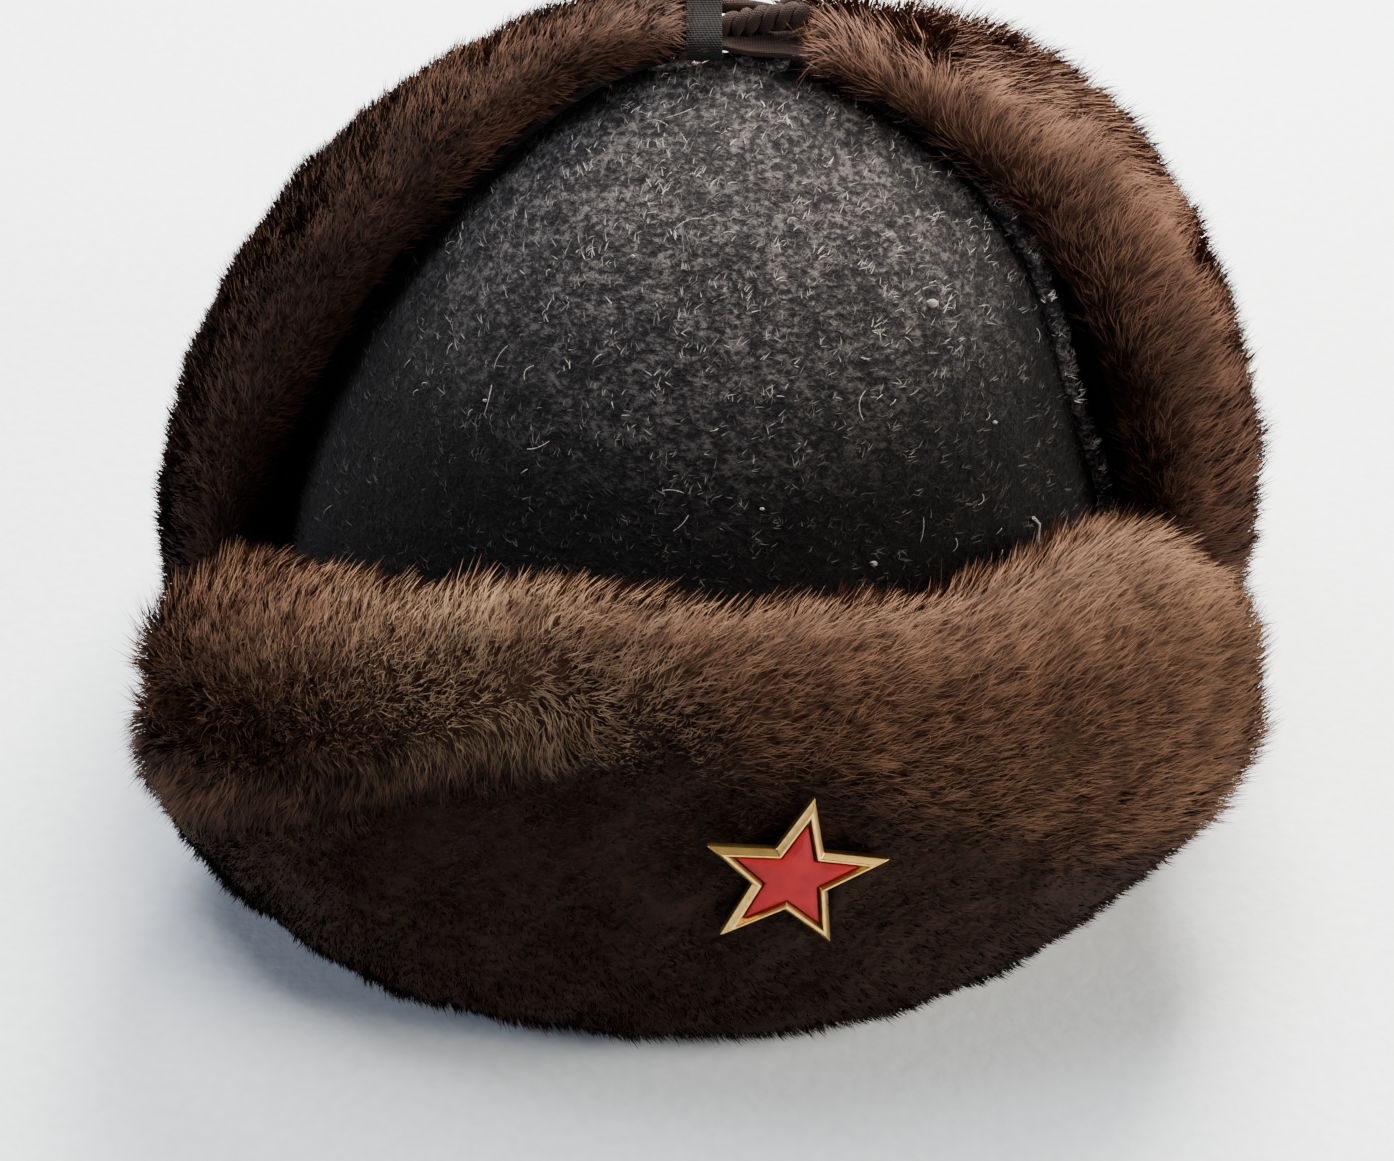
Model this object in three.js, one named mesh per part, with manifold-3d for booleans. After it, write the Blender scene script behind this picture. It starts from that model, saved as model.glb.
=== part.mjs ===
// A winter cap of grey wool cloth with fur flaps, standing on its rim: the front flap is turned up, and the
// two ear flaps are turned up beside the crown and tied over its top. A star badge is pinned to the front.
// Millimetres, +Z up, the front towards -Y. Left and right are those of someone who faces the front.
import * as THREE from "three";
import { mergeVertices } from "three/addons/utils/BufferGeometryUtils.js";
import Module from "manifold-3d";

// Driving dimensions
const RIM_HALF_WIDTH = 84;
const RIM_HALF_LENGTH = 94;
const CROWN_HEIGHT = 148;
const CLOTH = 2;
const GAP = 0.3;
const VISOR_TOP = 99;
const VISOR_THICK = 27;
const PILE = 23;
const LOCK_DEPTH = 2.6;
const STAR_RADIUS = 18;
const STAR_NOTCH = 0.42;
const STAR_RIM = 1.9;
const STAR_DEEP = 2.6;
const STAR_ANGLE = 7.3;
const STAR_UP = 0.58;
const STAR_TURN = -13;
const STAR_TILT = 9;
const POST_RADIUS = 0.9;
const LACE_RADIUS = 1.6;
const STRAP_WIDTH = 9;
const STRAP_THICK = 1.3;
const TAPE_WIDTH = 7;
const TAPE_THICK = 1;

// How round the level lines of the cap are: 2 is an ellipse, and more is squarer
const OVAL_POWER = 2.15;

// Shares of the pile that a lock of fur sinks from its tip to its root, over the steps of the mesh
const LOCK_STEPS = [0, 0.45, 1];

// Crown, outer face, from the rim to the ridge. Heights are shares of CROWN_HEIGHT, wide is a share of the
// rim's half width, and long and rear are shares of its half length, before and behind the middle. Lean and
// back are millimetres towards +X and +Y, and the seams are degrees from the front.
const CROWN_LEVELS = [
  { height: 0.012, wide: 1.0, long: 1.0, rear: 1.0, lean: 0, back: 0, leftSeam: -114, rightSeam: 74 },
  { height: 0.16, wide: 1.045, long: 1.015, rear: 1.01, lean: 0.8, back: 0, leftSeam: -112, rightSeam: 74 },
  { height: 0.31, wide: 1.082, long: 1.0, rear: 0.97, lean: 1.65, back: 0, leftSeam: -110, rightSeam: 74 },
  { height: 0.46, wide: 1.02, long: 0.93, rear: 0.86, lean: 1.4, back: 0, leftSeam: -108, rightSeam: 75 },
  { height: 0.61, wide: 0.898, long: 0.83, rear: 0.7, lean: 3.0, back: 1, leftSeam: -106, rightSeam: 75.5 },
  { height: 0.75, wide: 0.75, long: 0.7, rear: 0.51, lean: 7.5, back: 3, leftSeam: -103, rightSeam: 79 },
  { height: 0.87, wide: 0.537, long: 0.51, rear: 0.3, lean: 8.1, back: 6, leftSeam: -98, rightSeam: 87 },
  { height: 0.94, wide: 0.33, long: 0.31, rear: 0.15, lean: 7, back: 9, leftSeam: -95, rightSeam: 91 },
  { height: 0.98, wide: 0.19, long: 0.15, rear: 0.06, lean: 7, back: 11, leftSeam: -92, rightSeam: 91 },
  { height: 1.0, wide: 0.08, long: 0.0, rear: 0.0, lean: 7, back: 12, leftSeam: -90, rightSeam: 90 },
];

// Inner face of the fur of the ear and neck flaps, from the rim to over the ridge. Front and trail are the
// degrees at which an ear flap's edges lie.
const FLAP_LEVELS = [
  { height: 0.0, wide: 1.035, long: 1.032, rear: 1.032, lean: 0, back: 0, front: 69, trail: 128 },
  { height: 0.14, wide: 1.09, long: 1.065, rear: 1.055, lean: 0, back: 0, front: 69, trail: 129 },
  { height: 0.3, wide: 1.132, long: 1.08, rear: 1.05, lean: 2, back: 0, front: 70, trail: 130 },
  { height: 0.46, wide: 1.09, long: 1.06, rear: 1.0, lean: 3, back: 0, front: 72, trail: 132 },
  { height: 0.62, wide: 0.96, long: 0.95, rear: 0.86, lean: 5, back: 1, front: 75, trail: 134 },
  { height: 0.76, wide: 0.795, long: 0.78, rear: 0.67, lean: 7.3, back: 3, front: 79, trail: 138 },
  { height: 0.875, wide: 0.59, long: 0.58, rear: 0.47, lean: 8.6, back: 5, front: 82, trail: 142 },
  { height: 0.95, wide: 0.4, long: 0.4, rear: 0.32, lean: 7, back: 7, front: 83, trail: 147 },
  { height: 1.0, wide: 0.25, long: 0.26, rear: 0.25, lean: 7, back: 8.5, front: 82, trail: 152 },
  { height: 1.02, wide: 0.095, long: 0.16, rear: 0.17, lean: 7, back: 10, front: 80, trail: 158 },
];

// Pile of the flaps at the same levels, as shares of PILE. The right flap's tip is flatter than the left's.
const FLAP_PILES = [
  { left: 0.8, right: 0.8 },
  { left: 1.0, right: 1.0 },
  { left: 1.05, right: 1.05 },
  { left: 1.03, right: 1.08 },
  { left: 0.92, right: 1.04 },
  { left: 0.76, right: 0.88 },
  { left: 0.62, right: 0.54 },
  { left: 0.52, right: 0.33 },
  { left: 0.42, right: 0.28 },
  { left: 0.34, right: 0.25 },
];
const NECK_TOP = 0.4;
const RIGHT_TOP = 0.9;
const EDGE_DEGREES = 0.35;
const HEM_DEGREES = 4;

// Inner face of the fur of the front flap, at even steps of VISOR_TOP from the floor up
const VISOR_LEVELS = [
  { height: 0.0, wide: 1.035, long: 1.032, rear: 1.032, lean: 0, back: 0 },
  { height: 0.2, wide: 1.08, long: 1.05, rear: 1.05, lean: 0.8, back: 0 },
  { height: 0.4, wide: 1.125, long: 1.055, rear: 1.055, lean: 2, back: 0 },
  { height: 0.6, wide: 1.095, long: 1.03, rear: 1.03, lean: 2, back: 0 },
  { height: 0.8, wide: 1.02, long: 0.98, rear: 0.98, lean: 2.7, back: 0 },
  { height: 1.0, wide: 0.93, long: 0.91, rear: 0.91, lean: 3.6, back: 0 },
];

// Front flap, a row for each section from left to right: height as a share of VISOR_TOP, thickness as a
// share of VISOR_THICK, how deep the crease under the upper roll is, and the foot's share of the thickness
const VISOR_SECTIONS = [
  { angle: -66.5, height: 0.56, thick: 0.6, crease: 0.2, foot: 0.8 },
  { angle: -62, height: 0.72, thick: 1.2, crease: 0.8, foot: 0.8 },
  { angle: -54, height: 0.8, thick: 1.4, crease: 1.0, foot: 0.8 },
  { angle: -42, height: 0.87, thick: 1.32, crease: 1.0, foot: 0.86 },
  { angle: -28, height: 0.95, thick: 1.14, crease: 1.0, foot: 0.98 },
  { angle: -14, height: 1.0, thick: 1.0, crease: 0.9, foot: 1.0 },
  { angle: 0, height: 0.98, thick: 0.98, crease: 0.6, foot: 1.0 },
  { angle: 14, height: 0.97, thick: 1.0, crease: 0.35, foot: 1.0 },
  { angle: 28, height: 0.93, thick: 1.12, crease: 0.2, foot: 0.9 },
  { angle: 42, height: 0.92, thick: 1.32, crease: 0.2, foot: 0.75 },
  { angle: 54, height: 0.88, thick: 1.4, crease: 0.3, foot: 0.68 },
  { angle: 62, height: 0.78, thick: 1.2, crease: 0.3, foot: 0.7 },
  { angle: 66.5, height: 0.6, thick: 0.6, crease: 0.1, foot: 0.8 },
];

// Outline of the front flap's fur in one section: out is a share of its thickness and up of its height, and
// crease is the share of the thickness that the crease takes away
const VISOR_PROFILE = [
  { out: 0.0, up: 0.0, crease: 0 },
  { out: 0.36, up: 0.0, crease: 0 },
  { out: 0.72, up: 0.0, crease: 0 },
  { out: 0.97, up: 0.09, crease: 0 },
  { out: 1.07, up: 0.2, crease: 0 },
  { out: 1.08, up: 0.32, crease: 0 },
  { out: 1.06, up: 0.44, crease: 0 },
  { out: 1.04, up: 0.55, crease: 0 },
  { out: 1.02, up: 0.64, crease: 0.05 },
  { out: 1.01, up: 0.71, crease: 0.17 },
  { out: 1.02, up: 0.78, crease: 0.02 },
  { out: 1.0, up: 0.86, crease: 0 },
  { out: 0.88, up: 0.94, crease: 0 },
  { out: 0.63, up: 0.99, crease: 0 },
  { out: 0.37, up: 1.0, crease: 0 },
  { out: 0.14, up: 0.96, crease: 0 },
  { out: 0.02, up: 0.88, crease: 0 },
  { out: 0.0, up: 0.76, crease: 0 },
  { out: 0.0, up: 0.61, crease: 0 },
  { out: 0.0, up: 0.46, crease: 0 },
  { out: 0.0, up: 0.3, crease: 0 },
  { out: 0.0, up: 0.14, crease: 0 },
];

const wasm = await Module();
wasm.setup();

const hat = new THREE.Group();

function addPiece(name, geometry, finish) {
  const material = new THREE.MeshStandardMaterial({ flatShading: true, ...finish });
  const piece = new THREE.Mesh(geometry, material);
  piece.name = name;
  hat.add(piece);
  return piece;
}

// The value of one column of a table at a share of the way along its rows
function track(rows, name) {
  const points = rows.map((row, index) => new THREE.Vector3(row[name], index, 0));
  const curve = new THREE.CatmullRomCurve3(points, false, "catmullrom");
  return (share) => curve.getPoint(share).x;
}

const roundedPower = (value) => Math.sign(value) * Math.abs(value) ** (2 / OVAL_POWER);

// A domed face through ovals of the given levels. The returned function gives its point at some degrees from
// the front and a share of the way up, moved out of the face by a distance.
function domedFace(levels, topHeight) {
  const wide = track(levels, "wide");
  const long = track(levels, "long");
  const rear = track(levels, "rear");
  const height = track(levels, "height");
  const lean = track(levels, "lean");
  const back = track(levels, "back");
  const step = 0.01;
  return (degrees, share, out = 0) => {
    const low = Math.max(share - step, 0);
    const high = Math.min(share + step, 1);
    const inward = (wide(low) - wide(high)) * RIM_HALF_WIDTH;
    const upward = (height(high) - height(low)) * topHeight;
    const normal = new THREE.Vector2(upward, inward).normalize();
    const across = wide(share) * RIM_HALF_WIDTH + out * normal.x;
    const turn = THREE.MathUtils.degToRad(degrees);
    const half = Math.cos(turn) > 0 ? long(share) : rear(share);
    const along = Math.max(half * RIM_HALF_LENGTH + out * normal.x, 0);
    return new THREE.Vector3(
      lean(share) + across * roundedPower(Math.sin(turn)),
      back(share) - along * roundedPower(Math.cos(turn)),
      height(share) * topHeight + out * normal.y,
    );
  };
}

function geometryOf(points, faces) {
  const geometry = new THREE.BufferGeometry().setFromPoints(points);
  geometry.setIndex(faces);
  geometry.computeVertexNormals();
  return geometry;
}

// One closed body between an outer and an inner grid of points, which have the same rows and columns
function slab(outer, inner) {
  const rows = outer.length;
  const columns = outer[0].length;
  const faces = [];
  const quad = (a, b, c, d) => faces.push(a, b, c, a, c, d);
  const out = (row, column) => row * columns + column;
  const into = (row, column) => (rows + row) * columns + column;
  for (let row = 0; row + 1 < rows; row++) {
    for (let column = 0; column + 1 < columns; column++) {
      quad(out(row, column), out(row, column + 1), out(row + 1, column + 1), out(row + 1, column));
      quad(into(row, column), into(row + 1, column), into(row + 1, column + 1), into(row, column + 1));
    }
    const last = columns - 1;
    quad(out(row, 0), out(row + 1, 0), into(row + 1, 0), into(row, 0));
    quad(out(row, last), into(row, last), into(row + 1, last), out(row + 1, last));
  }
  for (let column = 0; column + 1 < columns; column++) {
    const top = rows - 1;
    quad(out(0, column), into(0, column), into(0, column + 1), out(0, column + 1));
    quad(out(top, column), out(top, column + 1), into(top, column + 1), into(top, column));
  }
  return geometryOf([...outer.flat(), ...inner.flat()], faces);
}

// One closed body through closed loops of points, with a fan over each end
function loft(loops) {
  const count = loops[0].length;
  const middle = (loop) =>
    loop.reduce((sum, point) => sum.add(point), new THREE.Vector3()).divideScalar(count);
  const points = [...loops.flat(), middle(loops[0]), middle(loops[loops.length - 1])];
  const startMiddle = loops.length * count;
  const faces = [];
  for (let side = 0; side < count; side++) {
    const next = (side + 1) % count;
    for (let loop = 0; loop + 1 < loops.length; loop++) {
      const here = loop * count;
      const beyond = here + count;
      faces.push(here + side, beyond + side, beyond + next);
      faces.push(here + side, beyond + next, here + next);
    }
    const lastLoop = (loops.length - 1) * count;
    faces.push(startMiddle, side, next);
    faces.push(startMiddle + 1, lastLoop + next, lastLoop + side);
  }
  return geometryOf(points, faces);
}

// A grid of points, a row for each share of the way up and a column for each share of the way round
function grid(rows, columns, pointAt) {
  return Array.from({ length: rows + 1 }, (_, row) =>
    Array.from({ length: columns + 1 }, (_, column) => pointAt(row, column)),
  );
}

const lockSink = (row, column) => LOCK_DEPTH * LOCK_STEPS[(row + 2 * column) % LOCK_STEPS.length];

const WOOL = { color: 0x5f5c5e, roughness: 0.95, metalness: 0 };
const FUR = { color: 0x5a4030, roughness: 0.9, metalness: 0 };
const LINING_CLOTH = { color: 0x2a2a30, roughness: 0.95, metalness: 0 };

// Crown: two walls of cloth that meet at a seam from side to side over the ridge
const CROWN_ROWS = 14;
const crownFace = domedFace(CROWN_LEVELS, CROWN_HEIGHT);
const leftSeam = track(CROWN_LEVELS, "leftSeam");
const rightSeam = track(CROWN_LEVELS, "rightSeam");

function crownPanel(name, start, end, columns, side) {
  const rows = CROWN_ROWS;
  const wall = (out) =>
    grid(rows, columns, (row, column) => {
      const share = row / rows;
      const degrees = THREE.MathUtils.lerp(start(share), end(share), column / columns);
      return crownFace(degrees, share, out);
    });
  const panel = addPiece(name, slab(wall(0), wall(-CLOTH)), WOOL);
  panel.position.y = (side * GAP) / 2;
}

crownPanel("crown_front", leftSeam, rightSeam, 26, -1);
crownPanel("crown_back", rightSeam, (share) => 360 + leftSeam(share), 18, 1);

// Ear and neck flaps: a cloth wall beside the crown, with fur on its outer side
const flapFace = domedFace(FLAP_LEVELS, CROWN_HEIGHT);
const flapFront = track(FLAP_LEVELS, "front");
const flapTrail = track(FLAP_LEVELS, "trail");
const leftPile = track(FLAP_PILES, "left");
const rightPile = track(FLAP_PILES, "right");

// How much of the pile is left towards the side edges and the top of a flap, where the fur rounds over
const roundSide = (across) => Math.sqrt(1 - 0.75 * Math.abs(2 * across - 1) ** 7);
const roundTop = (rise) => Math.sqrt(1 - 0.75 * rise ** 8);

// The share of the way up a flap's face for a row, a little less at the corners of its top
const CORNER_DROP = 0.14;
const riseOf = (top, row, across, drop) => top * row * (1 - drop * Math.abs(2 * across - 1) ** 6);

function flapFur(name, flap, rows, columns) {
  const place = (row, column, out) => {
    const across = column / columns;
    const share = riseOf(flap.top, row / rows, across, flap.drop);
    const degrees = THREE.MathUtils.lerp(flap.start(share), flap.end(share), across);
    const point = flapFace(degrees, share, out);
    if (row === 0) point.z = 0;
    return point;
  };
  const outer = grid(rows, columns, (row, column) => {
    const full = PILE * flap.pile(flap.top * (row / rows));
    const pile = full * roundSide(column / columns) * roundTop(row / rows);
    return place(row, column, pile - lockSink(row, column) * Math.min(1, pile / PILE));
  });
  const inner = grid(rows, columns, (row, column) => place(row, column, 0));
  addPiece(name, slab(outer, inner), FUR);
}

function flapCloth(name, flap, rows, columns) {
  const wall = (out) =>
    grid(rows, columns, (row, column) => {
      const across = column / columns;
      const share = 0.01 + riseOf(flap.top - 0.03, row / rows, across, flap.drop);
      const start = flap.start(share) + HEM_DEGREES;
      const end = flap.end(share) - HEM_DEGREES;
      return flapFace(THREE.MathUtils.lerp(start, end, across), share, out);
    });
  addPiece(name, slab(wall(-2 * GAP), wall(-2 * GAP - CLOTH)), LINING_CLOTH);
}

const negative = (angle) => (share) => -angle(share);
const leftFlap = { start: negative(flapTrail), end: negative(flapFront), top: 1, drop: 0, pile: leftPile };
const rightFlap = { start: flapFront, end: flapTrail, top: RIGHT_TOP, drop: 0, pile: rightPile };
const neckFlap = {
  start: (share) => flapTrail(share) + EDGE_DEGREES,
  end: (share) => 360 - flapTrail(share) - EDGE_DEGREES,
  top: NECK_TOP,
  drop: CORNER_DROP,
  pile: leftPile,
};

flapFur("ear_flap_left_fur", leftFlap, 18, 14);
flapCloth("ear_flap_left_cloth", leftFlap, 14, 7);
flapFur("ear_flap_right_fur", rightFlap, 18, 14);
flapCloth("ear_flap_right_cloth", rightFlap, 14, 7);
flapFur("neck_flap_fur", neckFlap, 9, 18);
flapCloth("neck_flap_cloth", neckFlap, 6, 10);

// Front flap: a cloth wall in front of the crown, with fur that rolls over its top
const visorFace = domedFace(VISOR_LEVELS, VISOR_TOP);
const VISOR_COLUMNS = 44;
const VISOR_HEM = 2;
const sectionAngle = track(VISOR_SECTIONS, "angle");
const sectionHeight = track(VISOR_SECTIONS, "height");
const sectionThick = track(VISOR_SECTIONS, "thick");
const sectionCrease = track(VISOR_SECTIONS, "crease");
const sectionFoot = track(VISOR_SECTIONS, "foot");

function visorFur() {
  const loops = Array.from({ length: VISOR_COLUMNS + 1 }, (_, column) => {
    const share = column / VISOR_COLUMNS;
    const thick = VISOR_THICK * sectionThick(share);
    return VISOR_PROFILE.map((spot, row) => {
      const up = spot.up * sectionHeight(share);
      const crease = spot.crease * sectionCrease(share);
      const hangs = spot.up > 0 && spot.out > 0.2;
      const foot = THREE.MathUtils.lerp(sectionFoot(share), 1, THREE.MathUtils.smoothstep(spot.up, 0, 0.6));
      const out = thick * foot * (spot.out - crease) - (hangs ? lockSink(row, column) : 0);
      const base = visorFace(sectionAngle(share), up);
      const outward = visorFace(sectionAngle(share), up, 1).sub(base).setZ(0).normalize();
      return base.addScaledVector(outward, out);
    });
  });
  return loft(loops);
}

function visorCloth() {
  const ups = VISOR_PROFILE.filter((spot) => spot.out === 0 && spot.up > 0)
    .map((spot) => spot.up)
    .reverse();
  const wall = (out) =>
    grid(ups.length - 1, VISOR_COLUMNS - 2 * VISOR_HEM, (row, column) => {
      const share = (column + VISOR_HEM) / VISOR_COLUMNS;
      return visorFace(sectionAngle(share), ups[row] * sectionHeight(share), out);
    });
  return slab(wall(-2 * GAP), wall(-2 * GAP - CLOTH));
}

// Star badge: a gilt dish with enamel in it, on a post through the fur and the cloth behind it
const starPlace = new THREE.Matrix4();
const starBase = visorFace(STAR_ANGLE, STAR_UP);
const starOut = visorFace(STAR_ANGLE, STAR_UP, 1).sub(starBase).setZ(0).normalize();
const starAcross = new THREE.Vector3(0, 0, 1).cross(starOut);
const starAxis = starOut.clone().applyAxisAngle(starAcross, THREE.MathUtils.degToRad(-STAR_TILT));
const starUp = starAxis.clone().cross(starAcross);
starPlace.makeBasis(starAcross, starUp, starAxis);
starPlace.setPosition(starBase.clone().addScaledVector(starOut, VISOR_THICK - STAR_DEEP / 2));
starPlace.multiply(new THREE.Matrix4().makeRotationZ(THREE.MathUtils.degToRad(STAR_TURN)));

// Half angles of the star's tips and notches, from which a border of even width is worked out
const STAR_POINTS = 5;
const POINT_TURN = Math.PI / STAR_POINTS;
const TIP_HALF = Math.atan2(STAR_NOTCH * Math.sin(POINT_TURN), 1 - STAR_NOTCH * Math.cos(POINT_TURN));

// The star's outline, moved in by a distance, at a height over its back
function starLoop(inset, height) {
  return Array.from({ length: 2 * STAR_POINTS }, (_, corner) => {
    const tip = corner % 2 === 0;
    const radius = tip
      ? STAR_RADIUS - inset / Math.sin(TIP_HALF)
      : STAR_RADIUS * STAR_NOTCH - inset / Math.sin(TIP_HALF + POINT_TURN);
    const turn = Math.PI / 2 - corner * POINT_TURN;
    return new THREE.Vector3(radius * Math.cos(turn), radius * Math.sin(turn), height);
  });
}

// Outlines of the badge in section: inset is a share of STAR_RIM and height of STAR_DEEP
const DISH_PROFILE = [
  { inset: 0.16, height: 0 },
  { inset: 0, height: 0.15 },
  { inset: 0, height: 0.6 },
  { inset: 0.45, height: 1 },
  { inset: 0.7, height: 1 },
  { inset: 1, height: 0.4 },
];
const ENAMEL_PROFILE = [
  { inset: 1, height: 0.4 },
  { inset: 1, height: 0.7 },
  { inset: 1.8, height: 0.86 },
];
const starLoops = (profile, clear) =>
  profile.map(({ inset, height }) => starLoop(inset * STAR_RIM + clear, height * STAR_DEEP + clear));

const GILT = { color: 0xc9a05a, roughness: 0.35, metalness: 1 };
const ENAMEL = { color: 0xb4202c, roughness: 0.2, metalness: 0 };
const starDish = loft(starLoops(DISH_PROFILE, 0));
const enamel = loft(starLoops(ENAMEL_PROFILE, GAP / 2));
const POST_SIDES = 10;
const visorDepth = VISOR_THICK + CLOTH + GAP;
const post = new THREE.CylinderGeometry(POST_RADIUS, POST_RADIUS, visorDepth, POST_SIDES);
post.rotateX(Math.PI / 2).translate(0, 0, -GAP - visorDepth / 2);
const boreRadius = POST_RADIUS + GAP;
const postBore = new THREE.CylinderGeometry(boreRadius, boreRadius, 3 * visorDepth, POST_SIDES);
postBore.rotateX(Math.PI / 2);
const starWell = loft([starLoop(-2 * GAP, -2 * GAP), starLoop(-2 * GAP, VISOR_THICK)]);
for (const shape of [starDish, enamel, post, postBore, starWell]) shape.applyMatrix4(starPlace);

function solidOf(geometry) {
  const bare = new THREE.BufferGeometry();
  bare.setAttribute("position", geometry.getAttribute("position"));
  bare.setIndex(geometry.getIndex());
  const merged = mergeVertices(bare);
  return new wasm.Manifold(
    new wasm.Mesh({
      numProp: 3,
      vertProperties: merged.getAttribute("position").array,
      triVerts: new Uint32Array(merged.getIndex().array),
    }),
  );
}

function geometryFrom(solid) {
  const mesh = solid.getMesh();
  const geometry = new THREE.BufferGeometry();
  geometry.setAttribute("position", new THREE.BufferAttribute(mesh.vertProperties, 3));
  geometry.setIndex(new THREE.BufferAttribute(mesh.triVerts, 1));
  geometry.computeVertexNormals();
  return geometry;
}

const bore = solidOf(postBore);
addPiece("visor_fur", geometryFrom(solidOf(visorFur()).subtract(bore).subtract(solidOf(starWell))), FUR);
addPiece("visor_cloth", geometryFrom(solidOf(visorCloth()).subtract(bore)), WOOL);
addPiece("star_rim", starDish, GILT);
addPiece("star_enamel", enamel, ENAMEL);
addPiece("star_post", post, GILT);

// Ties over the crown: a knotted lace and a flat strap from tip to tip, and a tape over them at the left tip
const LACE = { color: 0x3a2a22, roughness: 0.8, metalness: 0 };
const TAPE = { color: 0x23242c, roughness: 0.9, metalness: 0 };

// How far the ties stay clear of the tips, and how far they run straight on from them
const TIE_CLEAR = 2;
const TIE_REACH = 3;

// A point on the end face of an ear flap, by shares of the way across it and of the pile, and the way out
function tipOf(side, flap, across, pileShare) {
  const degrees = side * THREE.MathUtils.lerp(flapFront(flap.top), flapTrail(flap.top), across);
  const deep = PILE * flap.pile(flap.top) * roundTop(1) * pileShare;
  const spot = flapFace(degrees, flap.top, deep);
  const way = spot.clone().sub(flapFace(degrees, flap.top - 0.02, deep)).normalize();
  return { spot: spot.addScaledVector(way, TIE_CLEAR), way };
}

// A path from the left tip to the right one, which rises between them
function tiePath({ leftAcross, rightAcross, pileShare, rise }) {
  const left = tipOf(-1, leftFlap, leftAcross, pileShare);
  const right = tipOf(1, rightFlap, rightAcross, pileShare);
  const lift = new THREE.Vector3(0, 0, rise);
  return new THREE.CatmullRomCurve3([
    left.spot,
    left.spot.clone().addScaledVector(left.way, TIE_REACH),
    left.spot.clone().lerp(right.spot, 0.5).add(lift),
    right.spot.clone().addScaledVector(right.way, TIE_REACH),
    right.spot,
  ]);
}

function roundLace(path, steps) {
  const section = new THREE.Shape().absarc(0, 0, LACE_RADIUS, 0, 2 * Math.PI);
  return new THREE.ExtrudeGeometry(section, { steps, curveSegments: 4, extrudePath: path });
}

// A flat strip along a path, its width in a given direction
function flatStrip(path, width, thickness, across, steps) {
  const side = across.clone().normalize().multiplyScalar(width / 2);
  const face = (out) =>
    grid(steps, 1, (row, column) => {
      const normal = path.getTangent(row / steps).cross(across).normalize();
      const spot = path.getPoint(row / steps).addScaledVector(normal, out);
      return spot.addScaledVector(side, column === 0 ? 1 : -1);
    });
  return slab(face(thickness / 2), face(-thickness / 2));
}

const lacePath = tiePath({ leftAcross: 0.56, rightAcross: 0.46, pileShare: 0.64, rise: 1.6 });
const KNOT_SHARE = 0.76;
const KNOT_RADIUS = 2.3;
const KNOT_CORD = 1.1;
const knot = new THREE.TorusKnotGeometry(KNOT_RADIUS, KNOT_CORD, 30, 6, 2, 3);
const knotSpot = lacePath.getPoint(KNOT_SHARE);
knot.rotateX(Math.PI / 3).translate(knotSpot.x, knotSpot.y, knotSpot.z);
const laceSolid = solidOf(roundLace(lacePath, 16)).add(solidOf(knot));
addPiece("tie_lace", geometryFrom(laceSolid), LACE);

const strapPath = tiePath({ leftAcross: 0.2, rightAcross: 0.14, pileShare: 0.12, rise: 0.2 });
const strapAcross = new THREE.Vector3(0.3, 1, 0);
addPiece("tie_strap", flatStrip(strapPath, STRAP_WIDTH, STRAP_THICK, strapAcross, 10), LACE);

// The tape runs from front to back over the lace and the strap, beside the left tip
const tapeSpots = [
  { y: 5, z: 150.4 },
  { y: 5.2, z: 152.4 },
  { y: 9, z: 154.8 },
  { y: 14, z: 156 },
  { y: 19, z: 158.6 },
  { y: 24.5, z: 159 },
  { y: 29, z: 156 },
  { y: 31, z: 151.5 },
].map(({ y, z }) => new THREE.Vector3(3.6, y, z));
const tapePath = new THREE.CatmullRomCurve3(tapeSpots);
addPiece("tie_tape", flatStrip(tapePath, TAPE_WIDTH, TAPE_THICK, new THREE.Vector3(1, 0, 0), 12), TAPE);

const box = new THREE.Box3().setFromObject(hat);
const middle = box.getCenter(new THREE.Vector3());
hat.position.set(-middle.x, -middle.y, -box.min.z);

const part = new THREE.Group();
part.add(hat);
export default part;
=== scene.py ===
"""A winter hat of grey wool cloth with fur flaps: pile, cloth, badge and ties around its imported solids.

Metres, +Z up, the front towards -Y. Left and right are those of someone who faces the front.
"""

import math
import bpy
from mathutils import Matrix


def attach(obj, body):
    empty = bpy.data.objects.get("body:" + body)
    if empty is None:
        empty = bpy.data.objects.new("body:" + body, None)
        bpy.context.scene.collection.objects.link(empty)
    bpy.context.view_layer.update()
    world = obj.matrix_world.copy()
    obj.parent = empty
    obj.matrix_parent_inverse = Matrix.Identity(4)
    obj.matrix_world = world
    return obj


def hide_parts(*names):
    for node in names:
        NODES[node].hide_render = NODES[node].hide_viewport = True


bl_info = {
    "name": "Fur winter hat",
    "version": (1, 0, 0),
    "blender": (4, 5, 0),
    "location": "View3D > Sidebar > Hat",
    "description": "Pile, wool cloth, badge and ties of a winter hat with its ear flaps tied up",
    "category": "Object",
}

import bmesh
import bpy
import numpy as np
from mathutils import Matrix, Vector
from mathutils.bvhtree import BVHTree

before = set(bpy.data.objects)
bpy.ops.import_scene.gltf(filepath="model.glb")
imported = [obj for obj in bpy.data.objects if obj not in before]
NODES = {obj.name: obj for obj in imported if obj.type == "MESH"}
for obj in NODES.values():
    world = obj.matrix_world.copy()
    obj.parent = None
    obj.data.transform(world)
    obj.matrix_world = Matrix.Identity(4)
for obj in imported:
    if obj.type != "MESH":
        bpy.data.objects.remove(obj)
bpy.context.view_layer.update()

MM = 0.001
UP = np.array([0.0, 0.0, 1.0])
FLOOR_CLEAR = 0.4 * MM
HEAD_MIDDLE = (0.0, 2.5 * MM, 60 * MM)
# The ties lie over the crown between the tips of the ear flaps
TIES_MIDDLE = np.array((10, 14, 151)) * MM
TIES_REACH = 26 * MM
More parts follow.
